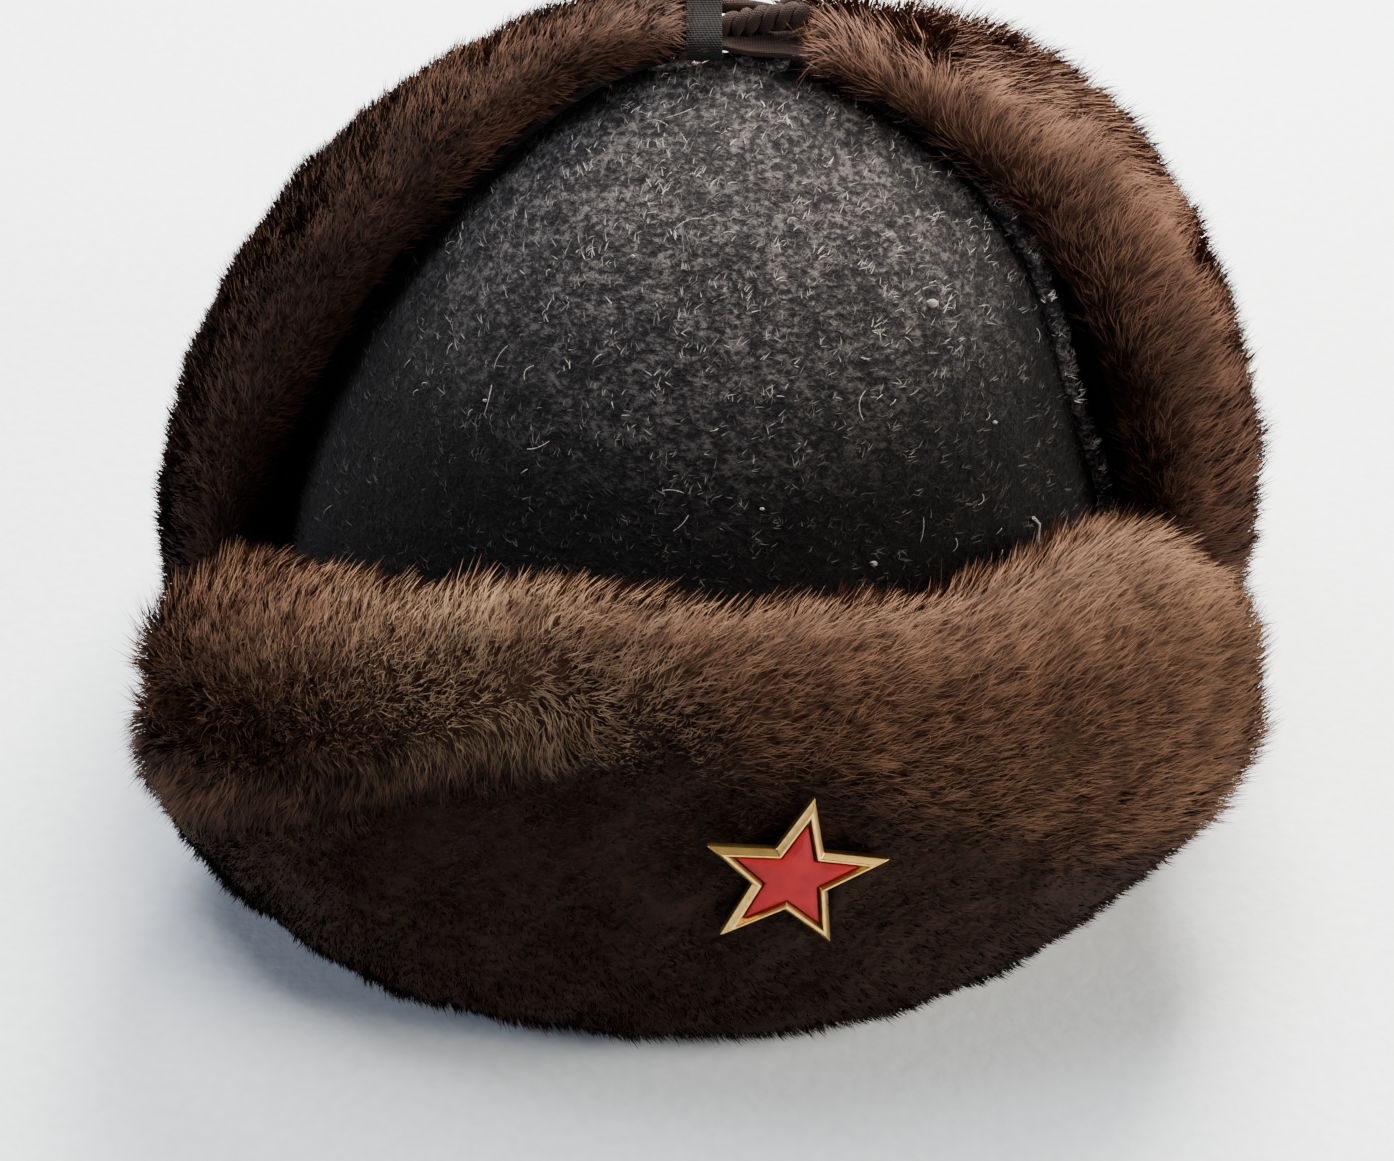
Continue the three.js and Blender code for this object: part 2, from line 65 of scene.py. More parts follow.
# Painted shade darkens the wool below the first height and leaves it unshaded above the second, higher at
# the sides
SHADE_HEIGHTS = (90 * MM, 132 * MM)
SHADE_SLOPE = 0.12
# The lower edge of the front flap's roll falls away from its middle, and hair hangs over it left of an end
ROLL_MIDDLE = -10 * MM
ROLL_SLOPE = 0.52
ROLL_EDGE = 92 * MM
ROLL_EDGE_REACH = 9 * MM
CREASE_END = -12 * MM
CREASE_FADE = 16 * MM
CREASE_FALL = 2.4
# Where hair turns from fresh and painted-shaded to worn and painted-lit: two heights, and how much lower
# they lie further aside
FRONT_WEAR_AND_LIGHT = (76 * MM, 104 * MM, ROLL_SLOPE)
LEFT_WEAR_AND_SHADE = (-30 * MM, 280 * MM, 0.0)
RIGHT_WEAR_AND_LIGHT = (-150 * MM, 170 * MM, 0.0)
NECK_WEAR_AND_LIGHT = (20 * MM, 120 * MM, 0.0)
# A highlight is painted on the roll as paler hair round one spot, most within the first distance and not
# past the second
HIGHLIGHT_SPOT = (-38 * MM, -104 * MM, 88 * MM)
HIGHLIGHT_NEAR = 6 * MM
HIGHLIGHT_FAR = 36 * MM
HIGHLIGHT_STRETCH = (0.5, 0.6, 1.5)
# Sizes of the patterns in hair, cloth, metal and sheet
WEAR_AND_LIGHT_PATCH = 22 * MM
HIGHLIGHT_STREAK = 7 * MM
HAIR_CLOUD = 9 * MM
HIDE_GRAIN = 2 * MM
WOOL_MOTTLE = 6 * MM
NAP_MOTTLE = 9 * MM
DYE_PATCH = 6 * MM
METAL_SCUFF = 1.3 * MM
ENAMEL_POOL = 5 * MM
SHEET_GRAIN = 3 * MM
# How many strands grow on each piece
STRANDS = {
    "crown_front_nap": 34000,
    "crown_back_nap": 9000,
    "crown_seam_nap": 6000,
    "front_flap_underfur": 59000,
    "front_flap_outer_hair": 58000,
    "ear_flap_left_pile": 47500,
    "ear_flap_left_tip_hair": 4000,
    "ear_flap_right_pile": 47500,
    "ear_flap_right_tip_hair": 4000,
    "neck_flap_pile": 26000,
}
# Threads of the woven pieces: the twill and the tape are drawn coarser than they are, so that they show
TWILL_THREAD = 0.9 * MM
TAPE_THREAD = 0.7 * MM
LACE_THREAD = 0.5 * MM
SEWING_THREAD = 0.5 * MM


def colour_setting(name, description, hex_colour):
    """A colour that a user may change."""
    return bpy.props.FloatVectorProperty(
        name=name,
        description=description,
        subtype="COLOR",
        size=3,
        min=0,
        max=1,
        default=linear(hex_colour),
    )


def length_setting(name, description, millimetres):
    """A length that a user may change."""
    return bpy.props.FloatProperty(
        name=name,
        description=description,
        subtype="DISTANCE",
        unit="LENGTH",
        min=0,
        default=millimetres * MM,
    )


def power_setting(name, description, watts):
    """A light's power that a user may change."""
    return bpy.props.FloatProperty(
        name=name, description=description, subtype="POWER", min=0, default=watts
    )


def linear(hex_colour):
    """The linear colour of an sRGB hex value."""
    channels = [int(hex_colour[start : start + 2], 16) / 255 for start in (1, 3, 5)]
    return tuple(c / 12.92 if c <= 0.04045 else ((c + 0.055) / 1.055) ** 2.4 for c in channels)


def rgba(colour):
    """A colour with an alpha of 1."""
    return (*colour, 1.0)


def darker(colour, share):
    """A colour at a share of its brightness."""
    return tuple(share * channel for channel in colour)


class HatPileSettings(bpy.types.PropertyGroup):
    """Hair of the flaps, where a strand stands for several hairs that cling together"""

    root: colour_setting("Root", "Colour of the hair at the hide", "#120b07")
    middle: colour_setting("Middle", "Colour half way up the hair", "#2a1a13")
    tip: colour_setting("Tip", "Colour of the hair's tips", "#3f2a20")
    # The worn colours are also painted light: they fill the lit roll and right flap, and the fresh ones
    # the shaded parts
    worn_and_lit_middle: colour_setting("Worn middle", "Colour half way up the hair where it is worn", "#4a3223")
    worn_and_lit_tip: colour_setting("Worn tip", "Colour of the tips where they are worn", "#7d5d46")
    side_worn_and_lit_tip: colour_setting("Side tip", "Colour of the ear flaps' tips where they are worn", "#845f4d")
    # The colour round the spot is a painted highlight
    highlighted: colour_setting("Bleached", "Colour of the hair round the bleached spot", "#957b60")
    hair_width: length_setting("Hair width", "Width of one strand", 0.26)
    hair_length: length_setting("Hair length", "Length of one strand", 7.0)
    tuft_size: length_setting("Tuft size", "How far apart the tufts lie", 3.6)
    lobe_size: length_setting("Lobe size", "How far apart the larger locks lie", 10.0)


class HatWoolSettings(bpy.types.PropertyGroup):
    """Wool cloth of the crown, where a raised fibre stands for a few that cling together"""

    dark: colour_setting("Dark", "Darkest fibres", "#0d0c0d")
    body: colour_setting("Body", "Most of the cloth", "#211f20")
    light: colour_setting("Light", "Palest fibres", "#4f4b49")
    stray: colour_setting("Stray", "Long pale fibres, lint and the loose thread", "#aaa49b")
    fibre_width: length_setting("Fibre width", "Width of one raised fibre", 0.19)
    fibre_length: length_setting("Fibre length", "Length of one raised fibre", 2.1)
    fleck_size: length_setting("Fleck size", "Size of the cloth's flecks", 1.0)


class HatBadgeSettings(bpy.types.PropertyGroup):
    """Star badge and ties"""

    gilt: colour_setting("Gilt", "Metal of the border", "#c9a25a")
    enamel: colour_setting("Enamel", "Enamel of the star", "#980a13")
    lace: colour_setting("Lace", "Rolled lace and strap", "#291a15")
    tape: colour_setting("Tape", "Dark tape", "#080706")
    edge_round: length_setting("Edge round", "Rounding of the badge's edges", 0.16)


class HatStageSettings(bpy.types.PropertyGroup):
    """Floor, light and camera"""

    floor: colour_setting("Floor", "Colour of the floor", "#e8eff3")
    key_power: power_setting("Key", "Power of the main light", 118.0)
    fill_power: power_setting("Fill", "Power of the left light", 10.0)
    elevation: bpy.props.FloatProperty(
        name="Elevation",
        description="Angle of the camera above the floor",
        subtype="ANGLE",
        default=math.radians(42),
    )
    distance: length_setting("Distance", "From the camera to the point that it looks at", 455.0)


def add_node(tree, kind, inputs=None, **settings):
    """The outputs of a new node. Its inputs are values or sockets."""
    node = tree.nodes.new(kind)
    for name, value in settings.items():
        setattr(node, name, value)
    for key, value in (inputs or {}).items():
        if isinstance(value, bpy.types.NodeSocket):
            tree.links.new(value, node.inputs[key])
        else:
            node.inputs[key].default_value = value
    return node.outputs


def noise(tree, place, size, detail, roughness=0.5):
    """An even noise with lumps of a size."""
    inputs = {"Vector": place, "Scale": 1 / size, "Detail": detail, "Roughness": roughness}
    return add_node(tree, "ShaderNodeTexNoise", inputs)["Fac"]


def remap(tree, value, start, end, low=0.0, high=1.0, **settings):
    """A value between start and end as one between low and high, and no further."""
    inputs = {"Value": value, "From Min": start, "From Max": end, "To Min": low, "To Max": high}
    return add_node(tree, "ShaderNodeMapRange", inputs, **settings)["Result"]


def calculate(tree, operation, *terms):
    """The result of an operation on numbers and sockets."""
    return add_node(tree, "ShaderNodeMath", dict(enumerate(terms)), operation=operation)["Value"]


def scale_colour(tree, colour, factor):
    """A colour times a factor."""
    inputs = {0: colour, "Scale": factor}
    return add_node(tree, "ShaderNodeVectorMath", inputs, operation="SCALE")["Vector"]


def mix_colours(tree, share, first, second):
    """The first colour with a share of the second mixed in."""
    inputs = {0: share, 6: first, 7: second}
    return add_node(tree, "ShaderNodeMix", inputs, data_type="RGBA")[2]


def ramp(tree, factor, *stops):
    """A colour between those of the stops, by a factor."""
    node = tree.nodes.new("ShaderNodeValToRGB")
    tree.links.new(factor, node.inputs["Fac"])
    elements = node.color_ramp.elements
    while len(elements) < len(stops):
        elements.new(1.0)
    for element, (position, colour) in zip(elements, stops):
        element.position = position
        element.color = rgba(colour)
    return node.outputs["Color"]


def add_bump(tree, shader, height, strength, distance):
    """Lets a height raise the surface."""
    inputs = {"Height": height, "Strength": strength, "Distance": distance}
    tree.links.new(add_node(tree, "ShaderNodeBump", inputs)["Normal"], shader.inputs["Normal"])


def new_material(name, **sockets):
    """A material with its shader's own sockets set, and its object coordinates in metres."""
    material = bpy.data.materials.new(name)
    material.use_nodes = True
    tree = material.node_tree
    shader = tree.nodes["Principled BSDF"]
    for socket, value in sockets.items():
        shader.inputs[socket.replace("_", " ")].default_value = value
    return material, tree, shader, add_node(tree, "ShaderNodeTexCoord")["Object"]


def axes(tree, place):
    """A place as its X, Y and Z."""
    return add_node(tree, "ShaderNodeSeparateXYZ", {0: place})


def strand_marks(tree):
    """The marks of a strand: its tone as X, and the share of the way along it as Y."""
    return axes(tree, add_node(tree, "ShaderNodeUVMap", uv_map="strand")["UV"])


def wear_and_light_share(tree, place, wear_and_light):
    """How worn and how lit dyed hair is painted: in patches between two heights, and lower down the
    further aside it lies.
    """
    worn_from, worn_to, aside = wear_and_light
    spot = axes(tree, place)
    reach = calculate(tree, "ABSOLUTE", calculate(tree, "SUBTRACT", spot["X"], ROLL_MIDDLE))
    raised = calculate(tree, "MULTIPLY_ADD", reach, aside, spot["Z"])
    risen = remap(tree, raised, worn_from, worn_to, -0.45, 0.45)
    patch = noise(tree, place, WEAR_AND_LIGHT_PATCH, 3.0, 0.6)
    return remap(tree, calculate(tree, "ADD", risen, patch), 0.38, 0.85)


def highlighted(tree, place, colour, settings):
    """A painted highlight: hair paler in streaks round one spot."""
    kind = "ShaderNodeVectorMath"
    beside = add_node(tree, kind, {0: place, 1: HIGHLIGHT_SPOT}, operation="SUBTRACT")["Vector"]
    flat = add_node(tree, kind, {0: beside, 1: HIGHLIGHT_STRETCH}, operation="MULTIPLY")["Vector"]
    apart = add_node(tree, kind, {0: flat}, operation="LENGTH")["Value"]
    near = remap(tree, apart, HIGHLIGHT_NEAR, HIGHLIGHT_FAR, 0.3, -0.3)
    streak = noise(tree, place, HIGHLIGHT_STREAK, 3.0, 0.6)
    share = remap(tree, calculate(tree, "ADD", near, streak), 0.42, 0.95)
    return mix_colours(tree, share, colour, rgba(settings.highlighted))


def worn_and_lit_mix(tree, place, wear_and_light, factor, fresh_and_shaded_stops, worn_and_lit_stops):
    """The colour of dyed hair at a share of the way along it, between its fresh, shaded colours and its
    worn, painted-lit ones.
    """
    fresh, worn = ramp(tree, factor, *fresh_and_shaded_stops), ramp(tree, factor, *worn_and_lit_stops)
    return mix_colours(tree, wear_and_light_share(tree, place, wear_and_light), fresh, worn)


def pile_material(settings, name, wear_and_light, worn_and_lit_tip):
    # Dyed sheepskin, sheared and combed: dull dark hair, turned to tan where it is worn and by painted
    # light where it is lit
    material, tree, shader, place = new_material(
        name,
        Roughness=0.8,
        Specular_IOR_Level=0.12,
        Sheen_Weight=0.04,
        Sheen_Roughness=0.4,
        Sheen_Tint=rgba(linear("#a8704c")),
    )
    marks = strand_marks(tree)
    mixed = worn_and_lit_mix(
        tree,
        place,
        wear_and_light,
        marks["Y"],
        [(0.05, settings.root), (0.5, settings.middle), (0.95, settings.tip)],
        [(0.0, settings.middle), (0.45, settings.worn_and_lit_middle), (0.95, worn_and_lit_tip)],
    )
    cloudy = remap(tree, noise(tree, place, HAIR_CLOUD, 2.0), 0.3, 0.7, 0.7, 1.2)
    tone = calculate(tree, "MULTIPLY", cloudy, remap(tree, marks["X"], 0.0, 1.0, 0.3, 1.5))
    toned = scale_colour(tree, highlighted(tree, place, mixed, settings), tone)
    tree.links.new(toned, shader.inputs["Base Color"])
    return material


def hide_material(settings, name, wear_and_light):
    # The dense short pile at the hide: as dull as the hair over it, and as worn, with the same painted
    # light and shade
    material, tree, shader, place = new_material(name, Roughness=0.9, Specular_IOR_Level=0.1)
    grain = noise(tree, place, HIDE_GRAIN, 4.0, 0.65)
    mixed = worn_and_lit_mix(
        tree,
        place,
        wear_and_light,
        grain,
        [(0.3, settings.root), (0.7, settings.middle)],
        [(0.3, settings.middle), (0.7, settings.worn_and_lit_middle)],
    )
    tree.links.new(mixed, shader.inputs["Base Color"])
    add_bump(tree, shader, grain, 0.6, 1.0 * MM)
    return material


def painted_shade_factor(tree, place, lit_factor, shaded_factor):
    """A factor of painted shade that darkens wool low on the crown, and higher up at its sides."""
    spot = axes(tree, place)
    aside = calculate(tree, "ABSOLUTE", spot["X"])
    raised = calculate(tree, "MULTIPLY_ADD", aside, -SHADE_SLOPE, spot["Z"])
    return remap(tree, raised, *SHADE_HEIGHTS, shaded_factor, lit_factor, interpolation_type="SMOOTHSTEP")


def wool_material(settings, name, lit_factor=1.15, shaded_factor=0.08):
    # Milled woollen coating: matt, mottled grey, with flecks that lie along the brushed nap, and darkened
    # low down and at its sides as painted shade
    material, tree, shader, place = new_material(
        name, Roughness=0.95, Specular_IOR_Level=0.1, Sheen_Weight=0.03, Sheen_Roughness=0.6
    )
    inputs = {"Vector": place, "Rotation": (0.0, math.radians(-48), 0.0), "Scale": (0.6, 0.6, 1.0)}
    nap = add_node(tree, "ShaderNodeMapping", inputs)["Vector"]
    fleck = noise(tree, nap, settings.fleck_size, 3.0, 0.7)
    mottled = calculate(tree, "MULTIPLY_ADD", noise(tree, place, WOOL_MOTTLE, 2.0), 0.4, fleck)
    shades = ramp(tree, mottled, (0.56, settings.dark), (0.7, settings.body), (0.86, settings.light))
    toned = scale_colour(tree, shades, painted_shade_factor(tree, place, lit_factor, shaded_factor))
    tree.links.new(toned, shader.inputs["Base Color"])
    add_bump(tree, shader, fleck, 0.9, 0.9 * MM)
    return material


def nap_material(settings, name, lit_factor=1.2, shaded_factor=0.28):
    # Raised wool fibres: some dark, most mid grey and a few pale ones that catch the light, with painted
    # shade low down
    material, tree, shader, place = new_material(
        name, Roughness=0.85, Specular_IOR_Level=0.15, Sheen_Weight=0.04, Sheen_Roughness=0.5
    )
    shades = ramp(
        tree,
        strand_marks(tree)["X"],
        (0.0, settings.dark),
        (0.4, settings.body),
        (0.75, settings.light),
        (1.0, linear("#a19c94")),
    )
    cloudy = remap(tree, noise(tree, place, NAP_MOTTLE, 2.0), 0.35, 0.65, 0.65, 1.2)
    dirt = calculate(tree, "MULTIPLY", cloudy, painted_shade_factor(tree, place, lit_factor, shaded_factor))
    tree.links.new(scale_colour(tree, shades, dirt), shader.inputs["Base Color"])
    return material


def woven_material(name, colour, thread):
    # Woven cotton: warp and weft show as fine crossing ridges, with a little unevenness in the dye
    material, tree, shader, place = new_material(
        name, Roughness=0.9, Specular_IOR_Level=0.15, Sheen_Weight=0.03, Sheen_Roughness=0.5
    )
    spot = axes(tree, place)
    waves = []
    for across in ("X", "Y"):
        slanted = calculate(tree, "ADD", spot[across], spot["Z"])
        turned = calculate(tree, "MULTIPLY", slanted, 2 * math.pi / thread)
        waves.append(calculate(tree, "SINE", turned))
    weave = calculate(tree, "ADD", *waves)
    uneven = calculate(tree, "MULTIPLY_ADD", weave, 0.08, noise(tree, place, DYE_PATCH, 3.0))
    shades = ramp(tree, uneven, (0.3, darker(colour, 0.55)), (0.7, colour))
    tree.links.new(shades, shader.inputs["Base Color"])
    add_bump(tree, shader, weave, 0.5, 0.15 * MM)
    return material


def gilt_material(settings):
    # Gilded brass, stamped: warm metal, scuffed in fine patches all over
    material, tree, shader, place = new_material("gilded_brass", Metallic=1.0)
    scuff = noise(tree, place, METAL_SCUFF, 4.0, 0.6)
    shades = ramp(tree, scuff, (0.3, darker(settings.gilt, 0.62)), (0.6, settings.gilt))
    tree.links.new(shades, shader.inputs["Base Color"])
    tree.links.new(remap(tree, scuff, 0.3, 0.7, 0.42, 0.26), shader.inputs["Roughness"])
    return material


def enamel_material(settings):
    # Vitreous enamel over stamped metal: a dulled gloss on red that pools a little darker in places
    material, tree, shader, place = new_material(
        "vitreous_enamel", Roughness=0.45, Specular_IOR_Level=0.16
    )
    pool = noise(tree, place, ENAMEL_POOL, 2.0)
    shades = ramp(tree, pool, (0.35, darker(settings.enamel, 0.7)), (0.65, settings.enamel))
    tree.links.new(shades, shader.inputs["Base Color"])
    return material


def sheet_material(settings):
    # Pale cotton sheet: matt and faintly mottled
    material, tree, shader, place = new_material("bleached_cotton_sheet", Roughness=0.75)
    grain = noise(tree, place, SHEET_GRAIN, 2.0)
    shades = ramp(tree, grain, (0.35, darker(settings.floor, 0.93)), (0.65, settings.floor))
    tree.links.new(shades, shader.inputs["Base Color"])
    add_bump(tree, shader, grain, 0.35, 0.8 * MM)
    return material


def new_object(name, data):
    """An object of the scene at the origin."""
    made = bpy.data.objects.new(name, data)
    bpy.context.scene.collection.objects.link(made)
    return made


def object_from(bm, name, material):
    """A smooth-shaded object from a bmesh."""
    mesh = bpy.data.meshes.new(name)
    bm.to_mesh(mesh)
    bm.free()
    mesh.polygons.foreach_set("use_smooth", np.ones(len(mesh.polygons), bool))
    mesh.materials.append(material)
    return new_object(name, mesh)


def merged_copy(node):
    """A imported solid's mesh as a bmesh with its corners joined."""
    bm = bmesh.new()
    bm.from_mesh(NODES[node].data)
    bmesh.ops.remove_doubles(bm, verts=bm.verts, dist=0.01 * MM)
    return bm


def subdivide(piece):
    """The piece with a smoothing subdivision."""
    smoother = piece.modifiers.new("Subdivision", "SUBSURF")
    smoother.levels = smoother.render_levels = 1
    return piece


def stand_for(piece, slot, *nodes):
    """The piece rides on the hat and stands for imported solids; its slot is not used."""
    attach(piece, "root")
    if nodes:
        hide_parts(*nodes)
    return piece


def round_edges(bm, degrees, width):
    """Rounds the edges whose faces turn by more than an angle."""
    limit = math.radians(degrees)
    sharp = [e for e in bm.edges if len(e.link_faces) == 2 and e.calc_face_angle() > limit]
    bmesh.ops.bevel(
        bm,
        geom=sharp,
        affect="EDGES",
        offset=width,
        segments=2,
        profile=0.5,
        material=-1,
        clamp_overlap=True,
    )


def soft_cloth(node, name, material, edge_round):
    """A cloth wall as a smooth copy of its solid with turned, rounded edges."""
    bm = merged_copy(node)
    round_edges(bm, 50, edge_round)
    return subdivide(object_from(bm, name, material))


def shell_points(piece):
    """Corners and corner normals of the triangles of a piece with its modifiers, and their areas."""
    evaluated = piece.evaluated_get(bpy.context.evaluated_depsgraph_get())
    mesh = evaluated.to_mesh()
    mesh.calc_loop_triangles()
    corners = np.empty(len(mesh.vertices) * 3)
    normals = np.empty(len(mesh.vertices) * 3)
    triangles = np.empty(len(mesh.loop_triangles) * 3, int)
    mesh.vertices.foreach_get("co", corners)
    mesh.vertices.foreach_get("normal", normals)
    mesh.loop_triangles.foreach_get("vertices", triangles)
    evaluated.to_mesh_clear()
    triangles = triangles.reshape(-1, 3)
    corners = corners.reshape(-1, 3)[triangles]
    normals = normals.reshape(-1, 3)[triangles]
    crossed = np.cross(corners[:, 1] - corners[:, 0], corners[:, 2] - corners[:, 0])
    return corners, normals, np.linalg.norm(crossed, axis=1) / 2


def unit(vectors):
    """The vectors at a length of 1."""
    return vectors / np.maximum(np.linalg.norm(vectors, axis=-1, keepdims=True), 1e-12)


OPEN_RAYS = 16
OPEN_REACH = 11 * MM


def openness(piece, spots, normals):
    """The share of the ways out of each spot that the piece itself leaves free."""
    tree = BVHTree.FromObject(piece, bpy.context.evaluated_depsgraph_get())
    spread = unit(np.random.default_rng(5).normal(size=(OPEN_RAYS, 3)))
    starts = spots + normals * 0.3 * MM
    free = np.empty(len(spots))
    for index, (start, normal) in enumerate(zip(starts, normals)):
        aims = unit(normal + spread)
        hits = [tree.ray_cast(start, aim, OPEN_REACH)[0] is not None for aim in aims]
        free[index] = 1 - np.mean(hits)
    return free


def scatter(piece, count, keep, rng):
    """Roots spread by area over the part of a piece that keep picks, with their normals and openness."""
    corners, normals, areas = shell_points(piece)
    centres = corners.mean(1)
    facing = unit(normals.mean(1))
    chances = areas * keep(centres, facing)
    kept = chances > 0
    free = np.ones(len(areas))
    free[kept] = openness(piece, centres[kept], facing[kept])
    picks = rng.choice(len(areas), count, p=chances / chances.sum())
    first, second = rng.random((2, count))
    folded = first + second > 1
    first[folded], second[folded] = 1 - first[folded], 1 - second[folded]
    shares = np.stack([1 - first - second, first, second], 1)[:, :, None]
    return (corners[picks] * shares).sum(1), unit((normals[picks] * shares).sum(1)), free[picks]


# Large primes keep the random numbers of neighbouring tufts apart, and odd factors mix their bits
CELL_PRIMES = np.array((73856093, 19349663, 83492791))
SEED_PRIME = 2654435
DRAW_PRIME = 7919
FIRST_FACTOR = np.uint64(6364136223846793005)
FIRST_STEP = np.uint64(1442695040888963407)
SECOND_FACTOR = np.uint64(2862933555777941757)
LOW_BITS = 0xFFFFFF


def nearest_tufts(points, size, seed):
    """For each point, the middle of the nearest tuft and four even random numbers that belong to it."""
    cells = np.floor(points / size).astype(int)
    best = np.full(len(points), np.inf)
    middles = np.zeros_like(points)
    draws = np.zeros((len(points), 4))
    for step in np.ndindex(3, 3, 3):
        cell = cells + np.array(step) - 1
        mixed = np.bitwise_xor.reduce(cell * CELL_PRIMES, axis=1) ^ (seed * SEED_PRIME)
        numbers = np.stack([hashed(mixed + DRAW_PRIME * index) for index in range(7)], 1)
        middle = (cell + numbers[:, :3]) * size
        far = np.linalg.norm(points - middle, axis=1)
        closer = far < best
        best[closer] = far[closer]
        middles[closer] = middle[closer]
        draws[closer] = numbers[closer, 3:]
    return middles, draws


def hashed(numbers):
    """Even random numbers from 0 to 1, one for each whole number."""
    bits = (numbers.astype(np.uint64) * FIRST_FACTOR + FIRST_STEP) >> np.uint64(29)
    bits = (bits ^ (bits >> np.uint64(13))) * SECOND_FACTOR
    return ((bits >> np.uint64(33)) & np.uint64(LOW_BITS)).astype(float) / LOW_BITS


def strand_shape():
    """One flat strand that narrows to a point: its corners as shares across and along, and its faces."""
    bm = bmesh.new()
    bmesh.ops.create_grid(bm, x_segments=1, y_segments=2, size=0.5)
    tip = [v for v in bm.verts if v.co.y > 0.4]
    bmesh.ops.pointmerge(bm, verts=tip, merge_co=Vector((0, 0.5, 0)))
    bm.verts.index_update()
    corners = np.array([(v.co.x, v.co.y + 0.5) for v in bm.verts])
    faces = [[v.index for v in face.verts] for face in bm.faces]
    bm.free()
    return corners, faces


def join_strands(name, corners, faces, places, normals, marks, material):
    """One mesh of many strands: places, normals and marks hold a row for each strand and corner."""
    count, size = places.shape[:2]
    flat = np.concatenate([np.array(face) for face in faces])
    starts = np.cumsum([0] + [len(face) for face in faces[:-1]])
    loops = (np.arange(count)[:, None] * size + flat).ravel()
    mesh = bpy.data.meshes.new(name)
    mesh.vertices.add(count * size)
    mesh.vertices.foreach_set("co", places.ravel())
    mesh.loops.add(len(loops))
    mesh.loops.foreach_set("vertex_index", loops)
    mesh.polygons.add(count * len(faces))
    mesh.polygons.foreach_set("loop_start", (np.arange(count)[:, None] * len(flat) + starts).ravel())
    mesh.polygons.foreach_set("use_smooth", np.ones(count * len(faces), bool))
    mesh.update(calc_edges=True)
    layer = mesh.uv_layers.new(name="strand")
    layer.data.foreach_set("uv", marks.reshape(-1, 2)[loops].ravel())
    mesh.normals_split_custom_set_from_vertices(normals.reshape(-1, 3))
    mesh.materials.append(material)
    return new_object(name, mesh)


# Shares of the ways out of a spot at which hair counts as sheltered and as free, and a strand's own sway
SHELTERED = 0.35
FREE_SPAN = 0.5
LEAN_SWAY = 6


def along_skin(ways, normals):
    """The part of each way that runs along the skin."""
    return ways - (ways * normals).sum(1, keepdims=True) * normals


def lying_ways(roots, normals, turns, flow, look, rng):
    """The way each strand lies: the flow, swung by its tuft and lock and a little by itself."""
    lie = unit(along_skin(flow(roots, normals), normals))
    swing = np.radians(look["swing"]) * turns
    swing += np.radians(look["stray"]) * rng.normal(size=len(roots))
    side = np.cross(normals, lie)
    return lie * np.cos(swing)[:, None] + side * np.sin(swing)[:, None]


def strand_lines(roots, normals, lie, lean, length, pull, steps, look):
    """Points along each strand, which leans further towards its tip, and the way that it runs at each."""
    droop = np.radians(look["lean"][1] - look["lean"][0])
    line = [roots - normals * look["sink"]]
    aims = []
    for index in range(1, len(steps)):
        angle = (lean + droop * (index - 1) / max(len(steps) - 2, 1))[:, None]
        aim = normals * np.cos(angle) + lie * np.sin(angle)
        aims.append(aim)
        line.append(line[-1] + aim * (length * (steps[index] - steps[index - 1]))[:, None])
    for index, step in enumerate(steps):
        line[index] = line[index] + pull * look["gather"] * step**1.5
        line[index][:, 2] = np.maximum(line[index][:, 2], FLOOR_CLEAR)
    return line, [*aims, aims[-1]]


def grow(name, skin, keep, flow, look, material, seed):
    """Strands over part of a piece: flow gives the way they lie, and look their sizes and stance."""
    rng = np.random.default_rng(seed)
    count = STRANDS[name]
    roots, normals, free = scatter(skin, count, keep, rng)
    shelter = np.clip((free - SHELTERED) / FREE_SPAN, 0, 1)
    middles, draws = nearest_tufts(roots, look["tuft"], seed)
    lobes, lobe_draws = nearest_tufts(roots, look["lobe"], seed + 1)
    puff = 1 - look["puff"] * np.minimum(np.linalg.norm(roots - lobes, axis=1) / look["lobe"], 1) ** 2
    lie = lying_ways(roots, normals, draws[:, 0] + lobe_draws[:, 0] - 1, flow, look, rng)
    lean = look["lean"][0] + look["lean_spread"] * (draws[:, 1] - 0.5) + LEAN_SWAY * rng.normal(size=count)
    length = look["length"] * puff * (0.85 + 0.3 * draws[:, 2]) * (0.7 + 0.5 * rng.random(count))
    length *= 1 - look["tuck"] * (1 - shelter)
    length *= look["length_at"](roots, normals)
    corners, faces = strand_shape()
    steps = np.unique(corners[:, 1])
    pull = along_skin(middles - roots, normals)
    line, aims = strand_lines(roots, normals, lie, np.radians(lean), length, pull, steps, look)
    roll = np.radians(look["roll"]) * rng.normal(size=count)[:, None]
    width = look["width"] * (0.7 + 0.6 * rng.random(count))
    tone = 0.5 + look["mottle"] * (draws[:, 3] - 0.5) + 0.1 * rng.normal(size=count)
    # Painted shade: a strand's tone, which the materials read, is darker where its hide shelters it and
    # towards the edges of the larger locks
    tone = np.clip(tone * (1 - look["shade"] * (1 - shelter * puff)), 0.01, 0.99)
    places = np.empty((count, len(corners), 3))
    shading = np.empty_like(places)
    marks = np.empty((count, len(corners), 2))
    for corner, (across, along) in enumerate(corners):
        index = int(np.searchsorted(steps, along - 1e-6))
        aim = unit(aims[index])
        flat = unit(np.cross(aim, normals))
        turned = flat * np.cos(roll) + np.cross(aim, flat) * np.sin(roll)
        places[:, corner] = line[index] + turned * (across * width * (1 - 0.35 * along))[:, None]
        facing = unit(np.cross(turned, aim))
        facing *= np.sign((facing * normals).sum(1, keepdims=True)) + 1e-9
        shading[:, corner] = unit(facing * look["crisp"] + normals * (1 - look["crisp"]))
        marks[:, corner] = np.stack([tone, np.full(count, along)], 1)
    return join_strands(name, corners, faces, places, shading, marks, material)


